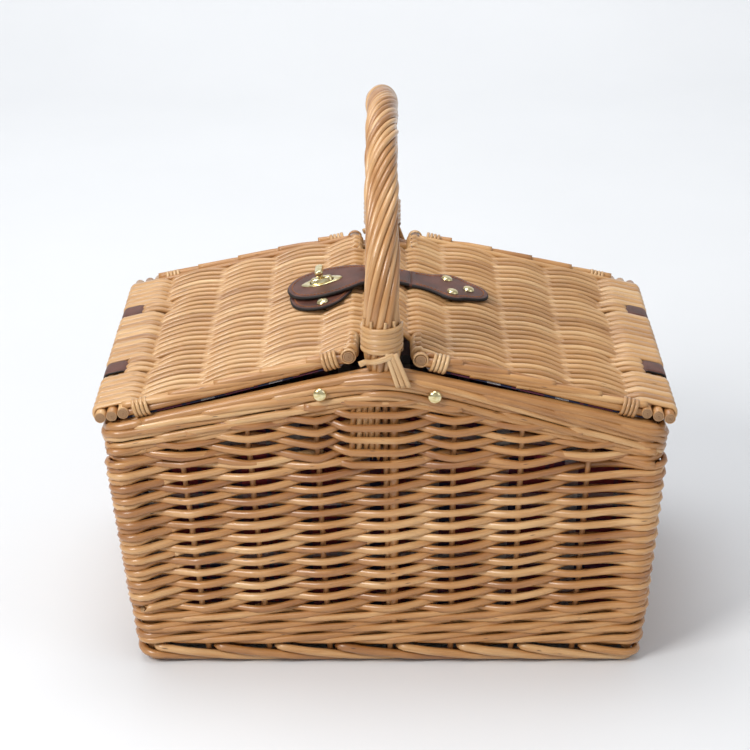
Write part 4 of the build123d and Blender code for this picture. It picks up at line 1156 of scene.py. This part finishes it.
root_outline = smooth_outline(
    strap_plan([
        (4, 15), (4, -15), (34, -15.5), (44, -20), (52, -25), (61, -25), (67, -19), (74, -17), (84, -12),
        (88, -1), (86, 9), (79, 16), (70, 20), (64, 26), (54, 27), (46, 22), (36, 16),
    ]),
    140, 2,
)
root_outline[:, 0] = np.maximum(root_outline[:, 0], 22.1 * MM)
root_surface = strap_surface(lambda x: 1.6 * MM)
root = strap_sheet("strap_fixed_end", root_outline, root_surface, STRAP_T)
root_thread = stitches(
    "strap_fixed_end_thread", inset(root_outline, 3.2 * MM), root_surface, STRAP_T,
    skip=lambda p: p[0] < 26 * MM,
)
settle(join("strap_fixed_end", [root, root_thread]), "right_lid", "leather", "strap_root")

tab_outline = smooth_outline(
    strap_plan([
        (-80, 10), (-80, -12), (-77, -29), (-70, -41), (-58, -47), (-46, -47), (-37, -40), (-30, -27),
        (-25, -8), (-26, 12), (-36, 24), (-52, 27), (-70, 23),
    ]),
    130, 2,
)
tab_surface = strap_surface(lambda x: 1.2 * MM)
tab = strap_sheet("lock_tab_leather", tab_outline, tab_surface, 2.6 * MM)
tab_thread = stitches("lock_tab_thread", inset(tab_outline, 3.0 * MM), tab_surface, 2.6 * MM)
settle(join("lock_tab_leather", [tab, tab_thread]), "left_lid", "leather", "lock_tab")


# ---- Brass ----
def loft_faces(rows, around):
    """Quads between successive rings of points."""
    rings = np.arange(rows * around).reshape(rows, around)
    turned_on = np.roll(rings, -1, axis=1)
    quads = np.stack([rings[:-1], turned_on[:-1], turned_on[1:], rings[1:]], axis=-1)
    return [tuple(quad) for quad in quads.reshape(-1, 4).tolist()]


def ring_caps(rows, around):
    """The two end faces of a loft."""
    first = tuple(range(around))[::-1]
    return [first, tuple((rows - 1) * around + i for i in range(around))]


def axes_of(normal, along):
    normal = unit(np.asarray(normal, float))
    along = np.asarray(along, float)
    along = unit(along - normal * (along @ normal))
    return along, np.cross(normal, along), normal


def turned(name, centre, normal, profile, steps=40, along=(1, 0.03, 0)):
    """A turned piece: profile of (radius, height) along the normal."""
    a, b, n = axes_of(normal, along)
    angle = np.arange(steps) * 2 * np.pi / steps
    points = []
    for radius, height in profile:
        ringed = np.outer(np.cos(angle), a) + np.outer(np.sin(angle), b)
        points.append(np.asarray(centre) + ringed * radius + n * height)
    faces = loft_faces(len(profile), steps) + ring_caps(len(profile), steps)
    return mesh_piece(name, np.concatenate(points), faces, [BRASS])


def dome(radius, height):
    """Profile of a stud's head with a rolled edge."""
    a = np.linspace(0, np.pi / 2, 12)
    rolled = [(0.55 * radius, -0.4 * MM), (0.9 * radius, -0.2 * MM), (radius, 0.25 * MM)]
    curve = [(radius * 0.97 * np.cos(k), height * 0.22 + height * 0.78 * np.sin(k)) for k in a[:-1]]
    return [*rolled, (radius, height * 0.2), *curve, (radius * 0.03, height)]


PIN = np.array([1.5, -10, -0.5]) * MM  # radius, bottom and top


def stud(name, place, normal, radius, height, pin=PIN):
    """A domed brass head on its pin."""
    pin_radius, bottom, top = pin
    profile = [(pin_radius, bottom), (pin_radius, top), *dome(radius, height)]
    return turned(name, place, normal, profile)


for side, name in ((-1, "front"), (1, "back")):
    low, high = corners(f"{name}_rim_studs")
    z = (low[2] + high[2]) / 2
    heads = []
    for hand in (-1, 1):
        # Driven by hand, the one on the front's right sits lower.
        x = hand * ((high[0] - low[0]) / 2 - 5.5 * MM) + side * (6 + 2 * hand) * MM
        stud_z = z - (1.0 + 2.0 * (hand == -side)) * MM
        y = side * (half_d(stud_z) + WALL / 2 + 2.2 * MM)
        long_pin = np.array([1.6, -14, -0.6]) * MM
        place, out = (x, y, stud_z), (0, side, -LEAN_Y)
        heads.append(stud(f"stud_{hand}", place, out, 5.5 * MM, 3.4 * MM, long_pin))
    settle(join(f"{name}_rim_brass_studs", heads), "basket", "brass", f"{name}_rim_studs")


def lid_normal(side):
    return np.array([side * math.sin(LID_ANGLE), 0, math.cos(LID_ANGLE)])


rivet_heads = []
for number, (x, y) in enumerate(((53.0, 15.0), (57.0, -13.0), (71.0, 1.0))):
    at = root_surface(np.array([x * MM]), np.array([STRAP_MID_Y + y * MM]), np.array([STRAP_T]))[0]
    rivet_heads.append(stud(f"rivet_{number}", at, lid_normal(1), 5.0 * MM, 2.7 * MM))
settle(join("strap_brass_rivets", rivet_heads), "right_lid", "brass", "strap_rivets")

at = tab_surface(np.array([-52.0 * MM]), np.array([STRAP_MID_Y - 37 * MM]), np.array([2.6 * MM]))[0]
tab_rivet = stud("lock_tab_brass_rivet", at, lid_normal(-1), 5.2 * MM, 2.7 * MM)
settle(tab_rivet, "left_lid", "brass", "lock_tab_rivet")


OVAL_STEPS, BAR_STEPS = 64, 32


def oval_stack(centre, normal, along, rows, steps=OVAL_STEPS):
    """Points and faces of a lofted oval: rows of half length, half width and height in mm, and power."""
    a, b, n = axes_of(normal, along)
    angle = np.arange(steps) * 2 * np.pi / steps
    points = []
    for half_length, half_width, height, power in rows:
        flat = oval(angle, half_length * MM, half_width * MM, power)
        level = np.asarray(centre) + n * height * MM
        points.append(level + np.outer(flat[:, 0], a) + np.outer(flat[:, 1], b))
    return np.concatenate(points), loft_faces(len(rows), steps)


lid_n = lid_normal(-1)
along_lid = np.array([math.cos(LID_ANGLE), 0, math.sin(LID_ANGLE)])
plate_centre = flap_surface(np.array([LOCK[0]]), np.array([LOCK[1]]), np.array([STRAP_T]))[0]
rows = [
    (10.3, 4.8, -3.2, 3.5), (10.3, 4.8, 0.8, 3.5), (10.6, 5.1, 1.1, 3.2), (13.0, 6.6, 1.15, 2.4),
    (17.2, 8.9, 1.1, 1.7), (17.8, 9.3, 0.8, 1.65), (18.0, 9.4, 0.2, 1.65), (17.9, 9.2, -0.1, 1.65),
    (11.0, 5.3, -0.1, 2.6), (10.9, 5.2, -3.2, 3.0),
]
points, faces = oval_stack(plate_centre, lid_n, along_lid, rows)
last = (len(rows) - 1) * OVAL_STEPS
closing = [(i, (i + 1) % OVAL_STEPS) for i in range(OVAL_STEPS)]
faces += [(last + i, last + j, j, i) for i, j in closing]
eyelet = mesh_piece("eyelet_brass_plate", points, faces, [BRASS])
fix_normals(eyelet)
settle(eyelet, "closure_strap", "brass", "eyelet_plate")

rows = [
    (15, 7, -4.6, 2.6), (15, 7, -3.6, 2.6), (9, 3.6, -3.5, 3.2), (9, 3.6, 3.2, 3.2),
    (8.7, 3.3, 4.1, 3.0), (7.8, 2.5, 4.5, 2.6), (0.1, 0.1, 4.5, 2.0),
]
points, faces = oval_stack(plate_centre, lid_n, along_lid, rows)
faces += ring_caps(len(rows), OVAL_STEPS)
base = mesh_piece("lock_brass_base", points, faces, [BRASS])
fix_normals(base)
settle(base, "left_lid", "brass", "lock_base")

knob_parts = []
post_profile = np.array([(2.2, -0.5), (2.0, 0.6), (1.9, 2.2), (2.6, 4.0)]) * MM
post = turned("post", plate_centre + lid_n * 4.5 * MM, lid_n, post_profile, 24)
knob_parts.append(post)
rows = []
for k in np.linspace(-1, 1, 21):
    size = math.sqrt(max(1 - abs(k) ** 5, 0.0)) * 0.12 + 0.88 if abs(k) < 1 else 0.7
    rows.append((3.6 * size, 2.7 * size, k * 8.6, 2.4))
rows = [(0.4, 0.3, -8.7, 2.4), *rows, (0.4, 0.3, 8.7, 2.4)]
bar_centre = plate_centre + lid_n * 10.4 * MM
points, faces = oval_stack(bar_centre, (0, 1, 0), along_lid, rows, BAR_STEPS)
faces += ring_caps(len(rows), BAR_STEPS)
knob_parts.append(mesh_piece("bar", points, faces, [BRASS]))
knob = join("turn_knob_brass", knob_parts)
fix_normals(knob)
settle(knob, "turn_knob", "brass", "turn_knob")

# ---- Leather hinge straps: one band round the lid's outer sticks, linked with one over the rim ----
def leather_band(name, path, y0, inside_point, thick=1.7 * MM):
    """A flat band of leather along a path of places in the XZ plane, centred on y0."""
    width = np.linspace(-LOOP_HALF, LOOP_HALF, 7)
    out_dir = np.cross(unit(np.gradient(path, axis=0)), (0, 1.0, 0))
    if ((path - inside_point) * out_dir).sum() < 0:
        out_dir = -out_dir
    points, faces, slots = [], [], []
    profile = [(y, thick) for y in width] + [(y, 0.0) for y in width[::-1]]
    for place, out in zip(path, out_dir):
        for y, h in profile:
            crown = 0.25 * MM * (1 - (y / LOOP_HALF) ** 2) if h else 0
            points.append(place + np.array([0, y0 + y, 0]) + out * (h - 0.8 * MM + crown))
    m = len(profile)
    for k in range(len(path) - 1):
        for i in range(m):
            j = (i + 1) % m
            faces.append((k * m + i, k * m + j, (k + 1) * m + j, (k + 1) * m + i))
            slots.append(1 if i in (6, 13) else 0)
    faces += [tuple(range(m)), tuple((len(path) - 1) * m + i for i in range(m))[::-1]]
    slots += [1, 1]
    band = mesh_piece(name, points, faces, [LEATHER, EDGE], slots)
    fix_normals(band)
    return band


def arc(centre_u, radius, first, last, count):
    """Places (u, lift) round one of the lid's outer sticks."""
    a = np.radians(np.linspace(first, last, count))
    return np.stack([centre_u + radius * np.cos(a), OUTER_LIFT + radius * np.sin(a)], axis=1)


def over_rim(side):
    """The band's path (out from the wall, below the rim): up inside, over, and down outside."""
    inside, top = [(-7.5, 24), (-9, 14), (-8.5, 5), (-5, 1)], [(0, 0.2), (5, 0.8), (9, 5)]
    line = np.array([*inside, *top, (10, 12), (9.5, 20), (7, 26), (1, 30)]) * MM
    for _ in range(3):
        cut = np.stack([0.75 * line[:-1] + 0.25 * line[1:], 0.25 * line[:-1] + 0.75 * line[1:]], axis=1)
        line = np.concatenate([line[:1], cut.reshape(-1, 2), line[-1:]])
    z = RIM_Z - 0.9 * MM - line[:, 1]
    return np.stack([side * (half_w(z) + line[:, 0]), 0 * z, z], axis=1)


for side, name in ((-1, "left"), (1, "right")):
    origin, slope, _, normal = lid_frame(side)
    radius = OUTER_STICK_R + 1.3 * MM
    line = np.concatenate([arc(OUTER_U[0], radius, -60, -270, 30), arc(OUTER_U[1], radius, 90, -45, 18)])
    lid_path = origin + line[:, :1] * slope + line[:, 1:] * normal
    lid_inside = origin + 0.5 * (OUTER_U[0] + OUTER_U[1]) * slope + OUTER_LIFT * normal
    rim_inside = np.array([side * half_w(RIM_Z), 0, RIM_Z - 14 * MM])
    lid_bands, rim_bands = [], []
    for number, y0 in enumerate((-LOOP_Y, LOOP_Y)):
        lid_bands.append(leather_band(f"{name}_lid_band_{number}", lid_path, y0, lid_inside))
        rim_bands.append(leather_band(f"{name}_rim_band_{number}", over_rim(side), y0, rim_inside))
    settle(join(f"{name}_lid_hinge_straps", lid_bands), f"{name}_lid", "leather", f"{name}_hinge_lid_loops")
    settle(join(f"{name}_rim_hinge_straps", rim_bands), "basket", "leather", f"{name}_hinge_rim_loops")


# ---- Cloth linings ----
def cloth_panel(grid_points, coordinates, thickness_dir, thick=0.7 * MM):
    """Points and faces of a thin cloth panel from a grid of points."""
    rows, columns = grid_points.shape[:2]
    top = grid_points + thickness_dir * thick
    points = np.concatenate([grid_points.reshape(-1, 3), top.reshape(-1, 3)])
    cloth = np.concatenate([coordinates.reshape(-1, 3)] * 2)
    index = np.arange(rows * columns).reshape(rows, columns)
    shift = rows * columns
    faces = []
    for i in range(rows - 1):
        for j in range(columns - 1):
            a, b, c, d = index[i, j], index[i, j + 1], index[i + 1, j + 1], index[i + 1, j]
            faces.append((a, b, c, d))
            faces.append((a + shift, d + shift, c + shift, b + shift))
    border = [*index[0, :], *index[1:, -1], *index[-1, -2::-1], *index[-2:0:-1, 0]]
    for k, a in enumerate(border):
        b = border[(k + 1) % len(border)]
        faces.append((a, a + shift, b + shift, b))
    return points, faces, cloth


def lid_cloth(side, name):
    low_u, high_u = 27 * MM, NOTCH_STICK_U - 6 * MM
    u = np.linspace(low_u, high_u, 40)
    y = np.linspace(-LID_HALF_D + 3 * MM, LID_HALF_D - 3 * MM, 60)
    grid_u, grid_y = np.meshgrid(u, y, indexing="ij")
    puff = 0.35 * MM * np.sin(grid_u * 90) * np.sin(grid_y * 70)
    hem = np.clip((np.abs(grid_y) - (LID_HALF_D - 20 * MM)) / (8 * MM), 0, 1)
    points = on_lid(side, grid_u, grid_y, -1.1 * MM + puff * (1 - hem) + 1.3 * MM * hem)
    cloth = np.stack([grid_y, grid_u, 0 * grid_u], axis=-1)
    points, faces, cloth = cloth_panel(points, cloth, lid_normal(side))
    made = mesh_piece(f"{name}_lid_cloth", points, faces, [TARTAN], attributes={"cloth": cloth})
    fix_normals(made)
    settle(made, f"{name}_lid", "tartan", f"{name}_lid_lining")


for side, name in ((-1, "left"), (1, "right")):
    lid_cloth(side, name)

pieces, area = [], 0.0
inset_wall = WALL / 2 + 1.6 * MM
bottom_z = base_high[2] + 0.4 * MM
for number, (along, away, _) in enumerate(SIDES):
    gable = number % 2 == 0
    length, depth = (half_w, half_d) if gable else (half_d, half_w)
    s = np.linspace(-1, 1, 61)
    k = np.linspace(0, 1, 31)
    grid_s, grid_k = np.meshgrid(s, k, indexing="xy")
    top_side = RIM_Z - RIM_DROP - 2 * MM
    z = bottom_z + (top_side - bottom_z) * grid_k
    if gable:
        half_here = length(np.full_like(z, top_side)) - inset_wall
        roof = PEAK_Z - 7 * MM - np.abs(grid_s) * half_here * SLOPE
        z = bottom_z + (roof - bottom_z) * grid_k
    reach = (length(z) - inset_wall) * grid_s
    pucker = 0.8 * MM * np.sin(grid_s * 21 + number) * grid_k + 0.5 * MM * np.sin(grid_k * 17 + grid_s * 5)
    out = depth(z) - inset_wall - 0.8 * MM + pucker
    if gable:
        # It bulges over the handle's rods, which end behind it.
        out = out - 3.8 * MM * np.exp(-((reach / (40 * MM)) ** 4)) * grid_k
    else:
        # On the sides it stands clear of the rods that turn inwards after the corners.
        out = out - 2.4 * MM
    flat = reach[..., None] * along + out[..., None] * away
    points = np.concatenate([flat, z[..., None]], axis=-1)
    cloth = np.stack([reach, z, 0 * z], axis=-1)
    points, faces, cloth = cloth_panel(points, cloth, np.array([*(-away), 0.0]))
    pieces.append(mesh_piece(f"cloth_{number}", points, faces, [TARTAN], attributes={"cloth": cloth}))
x = np.linspace(-1, 1, 50) * (half_w(bottom_z) - inset_wall)
y = np.linspace(-1, 1, 40) * (half_d(bottom_z) - inset_wall)
grid_x, grid_y = np.meshgrid(x, y, indexing="xy")
points = np.stack([grid_x, grid_y, bottom_z + 0.4 * MM * np.sin(grid_x * 60) * np.sin(grid_y * 50)], axis=-1)
cloth = np.stack([grid_x, grid_y, 0 * grid_x], axis=-1)
points, faces, cloth = cloth_panel(points, cloth, np.array([0, 0, 1.0]))
pieces.append(mesh_piece("cloth_floor", points, faces, [TARTAN], attributes={"cloth": cloth}))
lining = join("basket_cloth_lining", pieces)
fix_normals(lining)
settle(lining, "basket", "tartan", "basket_lining")
area = sum(p.area for p in lining.data.polygons) / 2

# ---- Stage: pale floor and backdrop, soft light, camera ----
paper = Nodes("pale_paper")
paper_noise = paper.noise(paper.new("ShaderNodeTexCoord").outputs["Object"], 3.0, 3.0)
paper_tint = paper.ramp(paper_noise, [(0.3, (0.74, 0.75, 0.765)), (0.7, (0.76, 0.77, 0.785))])
paper.set(Base_Color=paper_tint, Roughness=0.85)
sweep_rows = []
for k in range(40):
    t = k / 39
    if t < 0.4:
        sweep_rows.append((-7.0 + t / 0.4 * 8.5, 0.0))
    elif t < 0.75:
        a = (t - 0.4) / 0.35 * math.pi / 2
        sweep_rows.append((1.5 + 1.2 * math.sin(a), 1.2 - 1.2 * math.cos(a)))
    else:
        sweep_rows.append((2.7, 1.2 + (t - 0.75) / 0.25 * 2.6))
points = [(x, y, z) for y, z in sweep_rows for x in (-8.0, 8.0)]
faces = [(2 * k, 2 * k + 1, 2 * k + 3, 2 * k + 2) for k in range(len(sweep_rows) - 1)]
mesh_piece("paper_sweep", points, faces, [paper.material])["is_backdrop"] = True


def area_light(name, place, target, size, power, colour=(1, 1, 1)):
    data = bpy.data.lights.new(name, "AREA")
    data.shape, data.size, data.size_y = "RECTANGLE", size[0], size[1]
    data.energy, data.color = power, colour
    light = bpy.data.objects.new(name, data)
    bpy.context.scene.collection.objects.link(light)
    light.location = place
    light.rotation_mode = "QUATERNION"
    light.rotation_quaternion = (Vector(target) - Vector(place)).to_track_quat("-Z", "Y")


area_light("softbox_left", (-1.35, -1.35, 1.75), (0, 0, 0.2), (0.8, 0.8), 38, (1.0, 0.985, 0.96))
area_light("softbox_right", (1.7, -0.9, 1.3), (0, 0, 0.2), (1.2, 1.4), 5)
area_light("softbox_top", (-0.3, 0.2, 2.2), (0, 0, 0.1), (1.2, 1.2), 20)
area_light("backdrop_light", (0, 0.9, 2.0), (0, 3.0, 1.0), (2.4, 0.5), 22)
world = bpy.data.worlds.new("soft_room")
bpy.context.scene.world = world
world.use_nodes = True
world.node_tree.nodes["Background"].inputs[0].default_value = (0.93, 0.96, 1.0, 1)
world.node_tree.nodes["Background"].inputs[1].default_value = 0.5
bpy.context.scene.view_settings.view_transform = "Standard"

# The camera looks down at the basket's front from a little above the handle.
SENSOR_MM, LENS_MM, SHIFT = 36.0, 97.92, -1 / 75
PITCH, DISTANCE, AIM_Z = 23.7, 1.7554, 0.2021
camera_data = bpy.data.cameras.new("camera")
camera_data.sensor_width = SENSOR_MM
camera_data.lens = LENS_MM
camera_data.shift_x = SHIFT
camera_data.clip_start, camera_data.clip_end = 0.05, 50
camera = bpy.data.objects.new("camera", camera_data)
bpy.context.scene.collection.objects.link(camera)
pitch = math.radians(PITCH)
camera.location = (0, -DISTANCE * math.cos(pitch), AIM_Z + DISTANCE * math.sin(pitch))
camera.rotation_euler = (math.pi / 2 - pitch, 0, 0)
bpy.context.scene.camera = camera

low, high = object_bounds()
